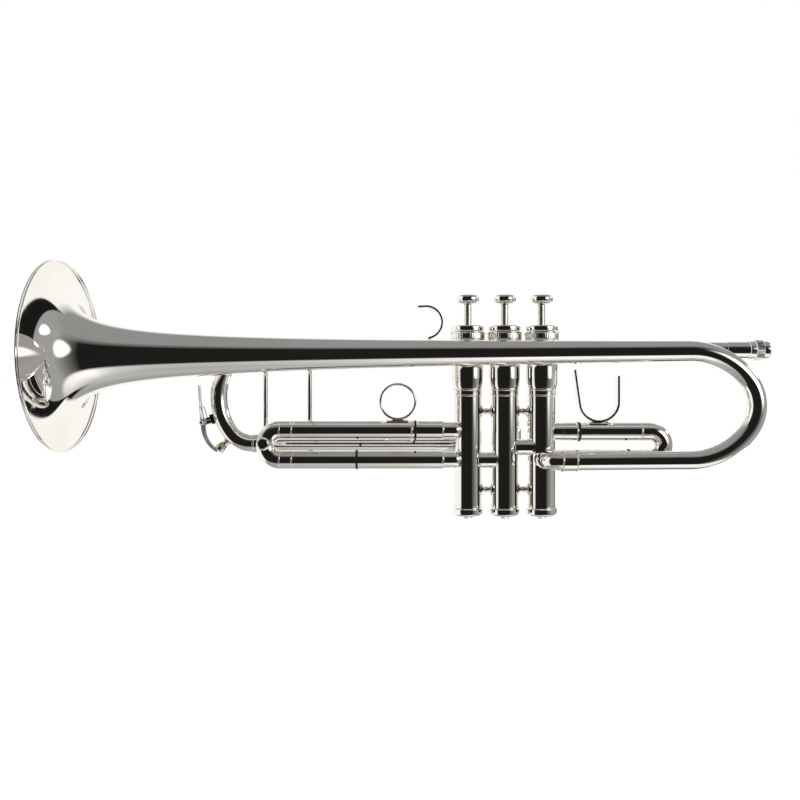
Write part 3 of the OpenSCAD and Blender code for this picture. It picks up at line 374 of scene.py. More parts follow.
def bendStrip(bm, section, start, heading, outward, legs):
    # section is (across, outward) points of a closed outline, swept along the legs
    way, out = Vector(heading).normalized(), Vector(outward).normalized()
    across = out.cross(way)
    edges = outline(bm, [Vector(start) * mm + across * a * mm + out * o * mm for a, o in section])[1]
    for ends in (edges, pushOn(bm, edges, Vector(start) * mm, way, legs)):
        bmesh.ops.edgeloop_fill(bm, edges=ends)


def block(bm, size, place):
    made = bmesh.ops.create_cube(bm, size=1.0)["verts"]
    bmesh.ops.scale(bm, vec=Vector(size) * mm, verts=made)
    bmesh.ops.transform(bm, matrix=place, verts=made)


def footOnTube(bm, ends, y, z, skins, half, corner):
    # curved foot plate that hugs the top of a tube along X, with round corners
    before = set(bm.verts)
    first = math.radians(90 - half)
    around = [(x, r) for r, xs in zip(skins, (ends, ends[::-1])) for x in xs]
    corners, edges = outline(
        bm, [Vector((x, y + r * math.cos(first), z + r * math.sin(first))) * mm for x, r in around])
    spinRound(bm, corners + edges, Vector((0, y, z)) * mm, (1, 0, 0), 2 * half, 18)
    fresh = {v for v in bm.verts if v not in before}
    openEdges = [e for e in bm.edges if e.is_boundary and e.verts[0] in fresh]
    bmesh.ops.holes_fill(bm, edges=openEdges, sides=4)

    def reach(v):
        return math.hypot(v.co.y - y * mm, v.co.z - z * mm)

    posts = [e for e in bm.edges if e.verts[0] in fresh and e.is_manifold
             and abs(e.verts[0].co.x - e.verts[1].co.x) < 1e-7
             and abs(reach(e.verts[0]) - reach(e.verts[1])) > 1e-5 and e.calc_face_angle() > 1.0]
    bevelEdges(bm, posts, corner, 6)


def softenEdges(bm, size, limit=28.0):
    bmesh.ops.remove_doubles(bm, verts=bm.verts, dist=weld)
    sharp = [e for e in bm.edges if e.is_manifold and e.calc_face_angle() > math.radians(limit)]
    bevelEdges(bm, sharp, size, 2)


def cutKnurl(bm, centre, axis, band, above, ribs, depth):
    # waves the outer skin of a turned band into straight ribs
    axis = Vector(axis)
    side = axis.orthogonal().normalized()
    other = axis.cross(side)
    for v in bm.verts:
        off = v.co - Vector(centre) * mm
        reach = off.dot(axis)
        flat = off - axis * reach
        if band[0] < reach / mm < band[1] and flat.length / mm > above:
            wave = 0.5 - 0.5 * math.cos(ribs * math.atan2(flat.dot(other), flat.dot(side)))
            v.co -= flat.normalized() * depth * mm * wave


def cope(bm, centre, axis, radius, way):
    # draws what reaches into a tube back along way, so that an end sits in the tube's wall
    axis, way = Vector(axis), Vector(way).normalized()
    for v in bm.verts:
        off = v.co / mm - Vector(centre)
        off -= axis * off.dot(axis)
        if off.length < radius - 1e-4:
            side = way if off.dot(way) >= 0 else -way
            ahead = off.dot(side)
            v.co += side * mm * (math.sqrt(ahead ** 2 + radius ** 2 - off.length_squared) - ahead)


def clearBores(bm, way):
    # ends that meet the valve casings stop in the casing wall, clear of the pistons
    for x in valveX.values():
        cope(bm, (x, 0, 0), upward, (casing["bore"] + casing["lower"]) / 2, way)


def runElbow(bm, start, heading, lead):
    # quarter bend from a line beside the valves into a casing
    runTube(bm, start, heading, [(lead,), (90, elbow["radius"], (0, 0, -1)), (elbow["reach"],)],
            tube["bend"], tube["bore"])
    clearBores(bm, (0, 1, 0))


def drill(bm, profile, at, along):
    # takes a turned shape out of the work
    cutter = bmesh.new()
    turn(cutter, profile, at, along, 64, False)
    parts = []
    for name, shape in (("work", bm), ("cutter", cutter)):
        bmesh.ops.remove_doubles(shape, verts=shape.verts, dist=weld)
        bmesh.ops.recalc_face_normals(shape, faces=shape.faces)
        mesh = bpy.data.meshes.new(name)
        shape.to_mesh(mesh)
        parts.append(bpy.data.objects.new(name, mesh))
        scene.collection.objects.link(parts[-1])
    cutter.free()
    cut = parts[0].modifiers.new("cut", "BOOLEAN")
    cut.object, cut.operation, cut.solver = parts[1], "DIFFERENCE", "EXACT"
    bm.clear()
    takeMesh(bm, parts[0])
    for part in parts:
        bpy.data.meshes.remove(part.data)


def takeMesh(bm, source):
    # finished shape of an object with its modifiers or bevel
    bpy.context.view_layer.update()
    result = bpy.data.meshes.new_from_object(source.evaluated_get(bpy.context.evaluated_depsgraph_get()))
    bm.from_mesh(result)
    bpy.data.meshes.remove(result)


def keepPiece(bm, name, node, body, finish, edge=0.0):
    if edge:
        softenEdges(bm, edge)
    bmesh.ops.remove_doubles(bm, verts=bm.verts, dist=weld)
    bmesh.ops.recalc_face_normals(bm, faces=bm.faces)
    for face in bm.faces:
        face.smooth = True
    for e in bm.edges:
        if e.is_manifold and e.calc_face_angle() > crease:
            e.smooth = False
    mesh = bpy.data.meshes.new(name)
    bm.to_mesh(mesh)
    bm.free()
    mesh.materials.append(finish)
    piece = bpy.data.objects.new(name, mesh)
    scene.collection.objects.link(piece)
    shading = piece.modifiers.new("evenShading", "WEIGHTED_NORMAL")
    shading.keep_sharp = True
    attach(piece, body)
    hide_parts(node)
    return piece


def turnedPiece(name, node, body, finish, profile, at, along=(1, 0, 0), steps=96, closed=True, edge=0.0):
    bm = bmesh.new()
    turn(bm, profile, at, along, steps, closed)
    keepPiece(bm, name, node, body, finish, edge)


# bell: flare and stem, rim wire, bow, ferrule and the elbow into the first valve
bell = {"rim": 61.5, "length": 402.0, "power": 0.378, "lead": 2.13, "wall": 0.6, "stem": 6.8, "stemEnd": 82.0,
        "start": (33.75, -24.0, -24.4), "rise": 70.0, "droop": 0.5, "rings": 110, "bunch": 2.4, "steps": 180}
flareGain = (bell["rim"] - bell["stem"]) / (
    bell["lead"] ** -bell["power"] - (bell["lead"] + bell["length"]) ** -bell["power"])
flareBase = bell["rim"] - flareGain * bell["lead"] ** -bell["power"]


def flare(d):
    return flareGain * (bell["lead"] + d) ** -bell["power"] + flareBase


bellPlace = (Matrix.Translation(Vector(bell["start"]) * mm)
             @ Matrix.Rotation(math.radians(-bell["droop"]), 4, "Y"))
rimX = bell["stemEnd"] - bell["length"]
stations = [bell["length"] * (i / bell["rings"]) ** bell["bunch"] for i in range(bell["rings"] + 1)]
outside = [(d, flare(d)) for d in stations]
inside = []
for d, r in reversed(outside):
    lean = flareGain * bell["power"] * (bell["lead"] + d) ** (-bell["power"] - 1)
    inset = bell["wall"] / math.sqrt(1 + lean * lean)
    inside.append((d if d == bell["length"] else d - inset * lean, r - inset))
bm = bmesh.new()
turn(bm, outside + inside, (rimX, 0, bell["rise"]), steps=bell["steps"])
bmesh.ops.transform(bm, matrix=bellPlace, verts=bm.verts)
keepPiece(bm, "bellFlare", "bell", "instrument", silverPlate)

rimWire = {"radius": 0.55, "behind": 0.35, "points": 9}
wireTurns = [math.pi * i / rimWire["points"] for i in range(2 * rimWire["points"])]
wireMiddle = bell["rim"] - rimWire["radius"]
wireSection = [(rimWire["radius"] * math.cos(a), wireMiddle + rimWire["radius"] * math.sin(a))
               for a in wireTurns]
bm = bmesh.new()
turn(bm, wireSection, (rimX + rimWire["radius"] + rimWire["behind"], 0, bell["rise"]), steps=bell["steps"])
bmesh.ops.transform(bm, matrix=bellPlace, verts=bm.verts)
keepPiece(bm, "bellRimWire", "bell_rim_wire", "instrument", silverPlate)

bellBow = {"x": 82.05, "corner": 47.0, "tip": 27.0, "tail": 77.55}
bm = bmesh.new()
bowCorner = (archTurn[0], bellBow["corner"], (0, 1, 0))
runTube(bm, (bellBow["x"], 0, bell["rise"]), (1, 0, 0),
        [bowCorner, (archTurn[1], bellBow["tip"], (0, 1, 0)), bowCorner, (bellBow["tail"],)],
        tube["bend"], tube["bore"], tube["sides"])
cornerMid = Vector((bellBow["x"], 0, bell["rise"] - bellBow["corner"])) * mm
for v in bm.verts:  # the first corner narrows from the stem's size to the bow's
    off = v.co - cornerMid
    swing = math.degrees(math.atan2(off.x, off.z))
    if -0.1 < swing < archTurn[0]:
        middle = cornerMid + Vector((off.x, 0, off.z)).normalized() * bellBow["corner"] * mm
        more = (bell["stem"] / tube["bend"] - 1) * (1 - max(swing, 0) / archTurn[0])
        v.co = middle + (v.co - middle) * (1 + more)
bmesh.ops.transform(bm, matrix=bellPlace, verts=bm.verts)
keepPiece(bm, "bellBow", "bell_bow", "instrument", silverPlate)

ferrule = {"x": 33.25, "seat": 6.2, "skin": 6.55, "bead": (6.5, 0.35, 6), "edge": 0.08}
bellTail = bell["start"][1:]
ferruleProfile = ([(0, ferrule["seat"])] + bead(0, 1.0, *ferrule["bead"]) + [(1.2, ferrule["skin"])]
                  + [(8.8, ferrule["skin"])] + bead(9.0, 10.0, *ferrule["bead"]) + [(10.0, ferrule["seat"])])
turnedPiece("tailFerrule", "bell_tail_ferrule", "instrument", silverPlate, ferruleProfile,
            (ferrule["x"], *bellTail), (1, 0, math.sin(math.radians(bell["droop"] / 2))),
            edge=ferrule["edge"])

bellElbow = {"x": 38.15, "lead": 4.4}
bm = bmesh.new()
runElbow(bm, (bellElbow["x"], *bellTail), (-1, 0, 0), bellElbow["lead"])
keepPiece(bm, "bellElbow", "bell_elbow", "instrument", silverPlate)
print("bell made")

# leadpipe side: pipe, receiver, hook, tuning sleeves, entry elbow and braces
leadLine = {"y": 24.0, "z": 50.0, "low": -15.5, "pipeX": -59.95}
leadRows = (leadLine["z"], leadLine["low"])
leadProfile = [(-14, 5.0), (-14, 5.8), (0, 5.8), (0, 6.1), (109, 5.9), (218, 5.7), (218, 4.8), (222.8, 4.8),
               (222.8, 4.2), (160, 4.2)]
turnedPiece("leadPipe", "leadpipe", "instrument", silverPlate, leadProfile,
            (leadLine["pipeX"], leadLine["y"], leadLine["z"]), edge=tube["edge"])

receiver = {"x": 158.5, "steps": 176, "band": (20.0, 25.4), "above": 6.6, "ribs": 44, "depth": 0.25,
            "edge": 0.1, "corner": 40}
receiverProfile = [
    (0, 4.85), (0, 5.85), (0.3, 6.0), (15.6, 6.0), (15.7, 6.45), (15.9, 6.55), (16.3, 6.5), (19.2, 6.5),
    (19.5, 6.35), (19.8, 6.2), (20.1, 6.9), (20.4, 7.0), (25.0, 7.0), (25.3, 6.9), (25.6, 6.2), (25.9, 6.4),
    (28.9, 6.4), (29.4, 6.2), (29.7, 5.8), (29.4, 5.4), (28.7, 5.3), (5.7, 5.3), (5.7, 4.2), (4.9, 4.2),
    (4.9, 4.85)]
receiverStart = (receiver["x"], leadLine["y"], leadLine["z"])
bm = bmesh.new()
turn(bm, receiverProfile, receiverStart, steps=receiver["steps"])
softenEdges(bm, receiver["edge"], receiver["corner"])
cutKnurl(bm, receiverStart, (1, 0, 0), receiver["band"], receiver["above"], receiver["ribs"],
         receiver["depth"])
keepPiece(bm, "mouthpieceReceiver", "mouthpiece_receiver", "instrument", silverPlate)

hook = {"x": -52.0, "z": 69.5, "radius": 11.2, "from": 82, "sweep": 176, "tip": 5.0, "postX": 2.3,
        "postRise": 5.0, "foot": (-5.5, 9.5), "footSkins": (6.12, 7.1), "footHalf": 35, "footCorner": 3.2,
        "stripEdge": 0.22, "edge": 0.12}
hookSection = [(-2.9, 0.75), (-1.5, 0.68), (1.5, 0.68), (2.9, 0.75), (2.9, -0.75), (1.5, -0.82),
               (-1.5, -0.82), (-2.9, -0.75)]
hookPost = [(0, 0), (0, 2.9), (0.5, 2.9), (1.4, 1.7), (3.2, 1.35), (4.3, 2.0), (4.3, 0)]
hookTurn = Matrix.Rotation(math.radians(hook["from"]), 3, "Y")
hookMid = Vector((hook["x"], leadLine["y"], hook["z"]))
hookStart = hookMid + hookTurn @ Vector((hook["radius"], 0, 0))
bm = bmesh.new()
bendStrip(bm, hookSection, hookStart, hookTurn @ Vector(upward), hookStart - hookMid,
          [(hook["sweep"], hook["radius"], (0, -1, 0)), (hook["tip"],)])
softenEdges(bm, hook["stripEdge"], stripCorner)
turn(bm, hookPost, (hook["x"] + hook["postX"], leadLine["y"], leadLine["z"] + hook["postRise"]), upward,
     rodSteps, False)
footOnTube(bm, [hook["x"] + d for d in hook["foot"]], leadLine["y"], leadLine["z"], hook["footSkins"],
           hook["footHalf"], hook["footCorner"])
keepPiece(bm, "pinkyHook", "pinky_hook", "instrument", silverPlate, hook["edge"])

sleeves = {"from": -161.0, "ends": (-60.0, -36.05)}
bm = bmesh.new()
for z, end in zip(leadRows, sleeves["ends"]):
    skin = bead(0.1, 1.3, tube["sleeve"], 0.3, 5)
    turn(bm, pipeProfile(end - sleeves["from"], tube["sleeve"], tube["sleeveIn"], skin),
         (sleeves["from"], leadLine["y"], z), steps=tube["sides"])
keepPiece(bm, "tuningSleeves", "tuning_sleeves", "instrument", silverPlate, tube["edge"])

entry = {"collarX": -46, "x": -36, "lead": 2.25, "edge": 0.12}
entryCollar = [(0, 6.3), (0, 6.75), (11, 6.75), (11, 5.5), (9.95, 5.5), (9.95, 6.3)]
bm = bmesh.new()
turn(bm, entryCollar, (entry["collarX"], leadLine["y"], leadLine["low"]))
softenEdges(bm, entry["edge"])
runElbow(bm, (entry["x"], leadLine["y"], leadLine["low"]), (1, 0, 0), entry["lead"])
keepPiece(bm, "entryElbow", "entry_elbow", "instrument", silverPlate)

braces = {"stations": (-148.0, -58.7, 69.0), "rod": 1.6, "foot": 3.4, "sink": 0.5, "sleeveEnd": -60,
          "pipe": 6.0, "sleeveX": -133.8, "sleeveFoot": 3.2, "seatSink": 0.1, "bellSink": 0.6,
          "edge": 0.12}


def braceProfile(length, foot):
    rod = braces["rod"]
    half = [(-0.6, 0), (-0.6, foot), (0.7, foot), (1.3, foot * 0.72), (2.6, rod * 1.15), (4.2, rod)]
    return half + [(length - d, r) for d, r in reversed(half)]


def uprightBrace(bm, x, pipe, foot, seat):
    # post between the two lines of the leadpipe side, its ends inside the tube walls
    low = leadLine["low"] + pipe - braces["sink"]
    length = leadLine["z"] - pipe + braces["sink"] - low
    turn(bm, braceProfile(length, foot), (x, leadLine["y"], low), upward, rodSteps, False)
    for z in leadRows:
        cope(bm, (0, leadLine["y"], z), (1, 0, 0), pipe - seat, upward)


bm = bmesh.new()
uprightBrace(bm, braces["sleeveX"], tube["sleeve"], braces["sleeveFoot"], braces["seatSink"])
for x in braces["stations"]:  # from the bell's stem across to the leadpipe
    bellRadius = flare(x - bell["start"][0] - rimX)
    z = bell["start"][2] + bell["rise"] + (x - bell["start"][0]) * math.sin(math.radians(bell["droop"]))
    pipe = tube["sleeve"] if x < braces["sleeveEnd"] else braces["pipe"]
    first = Vector((x, bell["start"][1] + bellRadius - braces["bellSink"], z))
    last = Vector((x, leadLine["y"] - pipe + braces["sink"], leadLine["z"]))
    turn(bm, braceProfile((last - first).length, braces["foot"]), first, last - first, rodSteps, False)
    cope(bm, (x, bell["start"][1], z), (1, 0, 0), bellRadius - bell["wall"] / 2, (0, 1, 0))
    cope(bm, (x, leadLine["y"], leadLine["z"]), (1, 0, 0), pipe - braces["seatSink"], (0, 1, 0))
keepPiece(bm, "bodyBraces", "body_braces", "instrument", silverPlate, braces["edge"])
print("leadpipe side made")

# valves: casings, caps, stems, buttons and what joins the casings
casingProfile = ([(-60.7, casing["bore"]), (-60.7, 8.95), (-55.7, 8.95), (-55.7, casing["lower"])]
                 + [(17.3, casing["lower"])] + bead(17.4, 18.7, 9.3, 0.65) + [(18.8, 9.55), (21.0, 9.55)]
                 + bead(21.1, 22.4, 9.6, 0.55)
                 + [(22.6, 9.72), (23.4, 10.0), (24.4, 10.22), (25.6, 10.38), (27.0, 10.52), (28.6, 10.64),
                    (30, 10.7), (61.5, 10.7), (61.5, 9.7), (26, 9.7), (26, casing["bore"])])
capProfile = ([(54.4, 10.76), (54.4, 11.2)] + bead(54.5, 55.7, 11.35, 0.42, 6) + [(55.9, 11.5), (58.9, 11.5)]
              + bead(59.1, 60.5, 11.35, 0.45, 6)
              + [(60.8, 11.1), (61.3, 10.85), (61.6, 10.9), (61.8, 11.0), (63.5, 11.0), (64.0, 10.85),
                 (64.4, 10.4), (64.6, 9.6), (64.6, 4.2), (64.4, 3.2), (64.0, 2.8), (62.3, 2.8),
                 (62.3, 10.76)])
capKnurl = {"band": (55.8, 59.0), "above": 11.4, "ribs": 60, "depth": 0.16, "steps": 240}
stemProfile = [(59.05, 0), (59.05, 8.2), (60.5, 8.2), (60.5, 2.5), (78.85, 2.5), (78.85, 0)]
buttonProfile = [
    (0, 0), (0, 2.9), (0.12, 3.6), (0.35, 4.7), (0.75, 5.85), (1.3, 6.8), (1.95, 7.4), (2.7, 7.66),
    (3.4, 7.7), (4.1, 7.66), (4.8, 7.52), (5.4, 7.28), (5.85, 6.98), (6.08, 6.65), (5.95, 6.42), (5.6, 6.33),
    (4.7, 6.3), (4.7, 0)]
pearlProfile = [(0.05, 0), (0.05, 6.2), (0.7, 6.2), (0.95, 5.9), (1.05, 5.0), (1.12, 3.0), (1.15, 0)]
button = {"z": 78.9, "pearlZ": 83.6, "steps": 80, "stemSteps": 64, "stemEdge": 0.1}
for i, x in valveX.items():
    turnedPiece(f"valveCasing{i}", f"valve_casing_{i}", "instrument", silverPlate, casingProfile, (x, 0, 0),
                upward, casing["steps"])
    bm = bmesh.new()
    turn(bm, capProfile, (x, 0, 0), upward, capKnurl["steps"])
    cutKnurl(bm, (x, 0, 0), upward, capKnurl["band"], capKnurl["above"], capKnurl["ribs"], capKnurl["depth"])
    keepPiece(bm, f"topCap{i}", f"top_cap_{i}", "instrument", silverPlate)
    turnedPiece(f"valveStem{i}", f"valve_stem_{i}", f"valve_{i}", satinSilver, stemProfile, (x, 0, 0), upward,
                button["stemSteps"], False, button["stemEdge"])
    turnedPiece(f"fingerButton{i}", f"finger_button_{i}", f"valve_{i}", silverPlate, buttonProfile,
                (x, 0, button["z"]), upward, button["steps"], False)
    turnedPiece(f"pearlInlay{i}", f"pearl_inlay_{i}", f"valve_{i}", buttonPearl, pearlProfile,
                (x, 0, button["pearlZ"]), upward, button["steps"], False)

bottomZ = -55.75
bottomProfile = [
    (0, 9.0), (0, 9.5), (-1.2, 9.5), (-1.5, 9.7), (-1.9, 10.2), (-2.2, 10.35), (-5.0, 10.35), (-5.4, 10.2),
    (-5.9, 9.85), (-6.4, 9.2), (-6.9, 8.0), (-7.2, 6.5), (-7.4, 3.9), (-7.7, 3.6), (-8.3, 3.5), (-8.6, 3.2),
    (-8.6, 2.2), (-8.3, 2.0), (-6, 2.0), (-6, 9.0)]
bm = bmesh.new()
for x in valveX.values():
    turn(bm, bottomProfile, (x, 0, bottomZ), upward, casing["steps"])
keepPiece(bm, "bottomCaps", "bottom_caps", "instrument", silverPlate)

knuckle = {"y": -3.0, "radius": 5.4, "places": ((valveX[3], -25.1), (valveX[2], -16.6)), "dome": 4.4,
           "domeFrom": 8.4, "domeAngles": (90, 78, 66, 54, 42, 30, 20, 10, 0), "end": casing["pitch"] - 6.0}
knuckleProfile = [(knuckle["domeFrom"] - knuckle["dome"] * math.sin(math.radians(a)),
                   knuckle["radius"] * math.cos(math.radians(a))) for a in knuckle["domeAngles"]]
knuckleProfile += [(knuckle["end"], knuckle["radius"]), (knuckle["end"], 0)]
bm = bmesh.new()
for x, z in knuckle["places"]:
    turn(bm, knuckleProfile, (x, knuckle["y"], z), (1, 0, 0), tube["sides"], False)
clearBores(bm, (1, 0, 0))
keepPiece(bm, "valveKnuckles", "valve_knuckles", "instrument", silverPlate)

casingBraceHeights = (7.6, -44.9)
casingBraceHalf = [
    (8.0, 0), (8.0, 4.6), (9.2, 4.4), (9.6, 3.9), (10.0, 3.2), (10.4, 2.6), (10.8, 2.1), (11.2, 1.75),
    (11.5, 1.65), (11.75, 1.9), (12.0, 2.15), (casing["pitch"] / 2, 2.25)]
casingBraceProfile = casingBraceHalf + [(casing["pitch"] - d, r) for d, r in reversed(casingBraceHalf[:-1])]
bm = bmesh.new()
for x in (valveX[3], valveX[2]):
    for z in casingBraceHeights:
        turn(bm, casingBraceProfile, (x, 0, z), (1, 0, 0), rodSteps, False)
clearBores(bm, (1, 0, 0))
keepPiece(bm, "casingBraces", "casing_braces", "instrument", silverPlate)
print("valves made")

# third slide, towards the bell
third = {"y": -7.0, "top": -5.0, "low": -24.5, "sleeveEnds": (-59.4, -98.1), "tubeEnds": (-61.2, -99.9),
         "ball": -36.6, "turn": 30.0, "dome": 2.0, "nose": 5.9, "neck": 5.5, "port": (4.6, 4.0),
         "portRun": 6.0, "portEdge": 0.06, "joint": -142.2, "bow": -149.8, "bowRun": 7.55}
thirdRows = (third["top"], third["low"])
bm = bmesh.new()
for z, stop in zip(thirdRows, third["sleeveEnds"]):
    reach = third["ball"] - stop
    roundEnd = [(reach + third["dome"] + third["nose"] * math.sin(a), third["neck"] * math.cos(a))
                for a in [math.radians(k) for k in range(0, 90, 6)]]
    turn(bm, [(reach - 9.9, 0), (reach - 9.9, tube["sleeveIn"]), (0, tube["sleeveIn"]), (0, tube["sleeve"]),
              (reach - 5.9, tube["sleeve"])] + bead(reach - 5.8, reach - 5.0, tube["sleeve"], 0.22, 6)
         + [(reach - 4.8, third["neck"])] + roundEnd + [(reach + third["dome"] + third["nose"], 0)],
         (stop, third["y"], z), steps=tube["sides"], closed=False)
softenEdges(bm, third["portEdge"])
thirdWay = (math.cos(math.radians(third["turn"])), math.sin(math.radians(third["turn"])), 0)
for z in thirdRows:
    runTube(bm, (third["ball"], third["y"], z), thirdWay, [(third["portRun"],)], *third["port"])
clearBores(bm, thirdWay)
keepPiece(bm, "thirdSlidePorts", "third_slide_ports", "instrument", silverPlate)

bm = bmesh.new()
for z, end in zip(thirdRows, third["tubeEnds"]):
    length = end - third["joint"]
    skin = bead(0.1, 0.9, tube["sleeve"], 0.3, 8)
    if z == third["top"]:
        skin += bead(length - 1.8, length - 0.6, tube["sleeve"], 0.5, 8)
    turn(bm, pipeProfile(length, tube["sleeve"], tube["sleeveIn"], skin), (third["joint"], third["y"], z),
         steps=tube["sides"])
keepPiece(bm, "thirdSlideTubes", "third_slide_tubes", "third_slide", silverPlate, tube["edge"])

drain = {"x": -160.2, "z": -13.8, "front": -14.5, "hole": 4.25, "cut": (-2, 17), "edge": 0.08,
         "buttonSteps": 64}
drainStart = (drain["x"], drain["front"], drain["z"])
bowRing = [(-0.6, 5.6)] + bead(-0.45, 0.45, tube["sleeve"], 0.32, 8) + [(0.6, 5.6)]
bm = bmesh.new()
runTube(bm, (third["joint"] - 0.05, third["y"], third["top"]), (-1, 0, 0),
        [(third["bowRun"],), (180, (third["top"] - third["low"]) / 2, (0, -1, 0)), (third["bowRun"],)],
        tube["sleeve"], tube["bore"])
cutFrom, cutTo = drain["cut"]
drill(bm, [(cutFrom, 0), (cutFrom, drain["hole"]), (cutTo, drain["hole"]), (cutTo, 0)], drainStart, (0, 1, 0))
for z in thirdRows:
    turn(bm, bowRing, (third["bow"], third["y"], z), steps=tube["sides"])
keepPiece(bm, "thirdSlideBow", "third_slide_bow", "third_slide", silverPlate)

slideFoot = {"skins": (6.27, 7.05), "corner": 3.0, "padRise": 6.9, "edge": 0.1}
ring = {"x": -71.8, "z": 14.0, "middle": 11.5, "half": 0.85, "width": 6.0, "foot": (-7.5, 7.0),
        "footHalf": 32, "pad": (6.4, 4.6, 1.6), "angles": (0, 22, 45, 68, 90, 112, 135, 158, 180),
        "steps": 120}
ringSection = [(side * (ring["width"] / 2 - ring["half"] + ring["half"] * math.sin(math.radians(a))),
                ring["middle"] + side * ring["half"] * math.cos(math.radians(a)))
               for side in (1, -1) for a in ring["angles"]]
bm = bmesh.new()
turn(bm, ringSection, (ring["x"], third["y"], ring["z"]), (0, 1, 0), ring["steps"])
footOnTube(bm, [ring["x"] + d for d in ring["foot"]], third["y"], third["top"], slideFoot["skins"],
           ring["footHalf"], slideFoot["corner"])
block(bm, ring["pad"],
      Matrix.Translation(Vector((ring["x"], third["y"], third["top"] + slideFoot["padRise"])) * mm))
keepPiece(bm, "fingerRing", "finger_ring", "third_slide", silverPlate, slideFoot["edge"])

barrelProfile = [(0, 3.4), (0.1, 3.55), (0.95, 4.4), (14.6, 4.4), (15, 4.1), (15, 2.6), (3.4, 2.6),
                 (3.4, 3.4)]
turnedPiece("drainBarrel", "drain_barrel", "third_slide", silverPlate, barrelProfile, drainStart,
            (0, 1, 0), tube["sides"], edge=drain["edge"])
plungerProfile = [(-0.1, 0), (-0.1, 3.1), (0.05, 3.3), (0.9, 3.3), (0.9, 2.55), (13.0, 2.55), (13.0, 0)]
turnedPiece("drainButton", "drain_button", "drain_plunger", slideNickel, plungerProfile, drainStart,
            (0, 1, 0), drain["buttonSteps"], False, drain["edge"])
print("third slide made")

# first slide, towards the player
firstSlide = {"top": -6.3, "low": -24.4, "portFrom": 32.0, "portEnds": (48.8, 82.1), "topFrom": 50.6,
              "lowFrom": 40, "joint": 91.9, "bowRun": 5.35}
firstRows = (firstSlide["top"], firstSlide["low"])
bm = bmesh.new()
for z, stop in zip(firstRows, firstSlide["portEnds"]):
    length = stop - firstSlide["portFrom"]
    turn(bm, [(0, tube["sleeveIn"]), (0, tube["bend"]), (6.6, tube["bend"]), (6.7, tube["sleeve"])]
         + bead(length - 1.0, length - 0.2, tube["sleeve"], 0.3, 6)
         + [(length, tube["sleeve"]), (length, tube["sleeveIn"])],
         (firstSlide["portFrom"], 0, z), steps=tube["sides"])
clearBores(bm, (1, 0, 0))
keepPiece(bm, "firstSlidePorts", "first_slide_ports", "instrument", silverPlate, tube["edge"])

bm = bmesh.new()
length = firstSlide["joint"] - firstSlide["topFrom"]
skin = [(length - 1.4, tube["sleeve"])] + bead(length - 1.2, length - 0.1, tube["sleeve"], 0.45, 8)
turn(bm, pipeProfile(length, tube["sleeve"], tube["sleeveIn"], skin),
     (firstSlide["topFrom"], 0, firstSlide["top"]), steps=tube["sides"])
turn(bm, [(0, tube["bore"]), (0, tube["leg"]), (43.9, tube["leg"]), (43.9, tube["sleeve"])]
     + [(50.5, tube["sleeve"])] + bead(50.7, 51.8, tube["sleeve"], 0.45, 8)
     + [(51.9, tube["sleeve"]), (51.9, tube["bore"])],
     (firstSlide["lowFrom"], 0, firstSlide["low"]), steps=tube["sides"])
keepPiece(bm, "firstSlideTubes", "first_slide_tubes", "first_slide", silverPlate, tube["edge"])

bm = bmesh.new()
runTube(bm, (firstSlide["joint"] + 0.05, 0, firstSlide["top"]), (1, 0, 0),
        [(firstSlide["bowRun"],), (180, (firstSlide["top"] - firstSlide["low"]) / 2, (0, 1, 0)),
         (firstSlide["bowRun"],)], tube["sleeve"], tube["bore"])
keepPiece(bm, "firstSlideBow", "first_slide_bow", "first_slide", silverPlate)

thumb = {"x": 62.9, "z": 13.75, "radius": 11.8, "lean": 8.0, "left": 23.6, "right": 17.5, "curl": 0.5,
         "thick": 1.6, "across": (-4.0, -3.4, -2.4, -1.2, 0.0, 1.2, 2.4, 3.4, 4.0), "foot": (-7.0, 6.0),
         "footHalf": 40, "pad": (7.0, 5.6, 1.9), "stripEdge": 0.3}
thumbSection = [(a, thumb["curl"] * (a / 4) ** 2) for a in thumb["across"]]
thumbSection += [(a, o + thumb["thick"]) for a, o in reversed(thumbSection)]
lean = math.radians(180 + thumb["lean"])
thumbOut = Vector((math.cos(lean), 0, math.sin(lean)))
thumbWay = Vector((-math.sin(lean), 0, math.cos(lean)))
thumbStart = Vector((thumb["x"], 0, thumb["z"])) + thumbOut * thumb["radius"] - thumbWay * thumb["left"]
bm = bmesh.new()
bendStrip(bm, thumbSection, thumbStart, thumbWay, thumbOut,
          [(thumb["left"],), (180 - thumb["lean"], thumb["radius"], (0, -1, 0)), (thumb["right"],)])
softenEdges(bm, thumb["stripEdge"], stripCorner)
block(bm, thumb["pad"],
      Matrix.Translation(Vector((thumb["x"], 0, firstSlide["top"] + slideFoot["padRise"])) * mm))
footOnTube(bm, [thumb["x"] + d for d in thumb["foot"]], 0, firstSlide["top"], slideFoot["skins"],
           thumb["footHalf"], slideFoot["corner"])
keepPiece(bm, "thumbSaddle", "thumb_saddle", "first_slide", silverPlate, slideFoot["edge"])
print("first slide made")

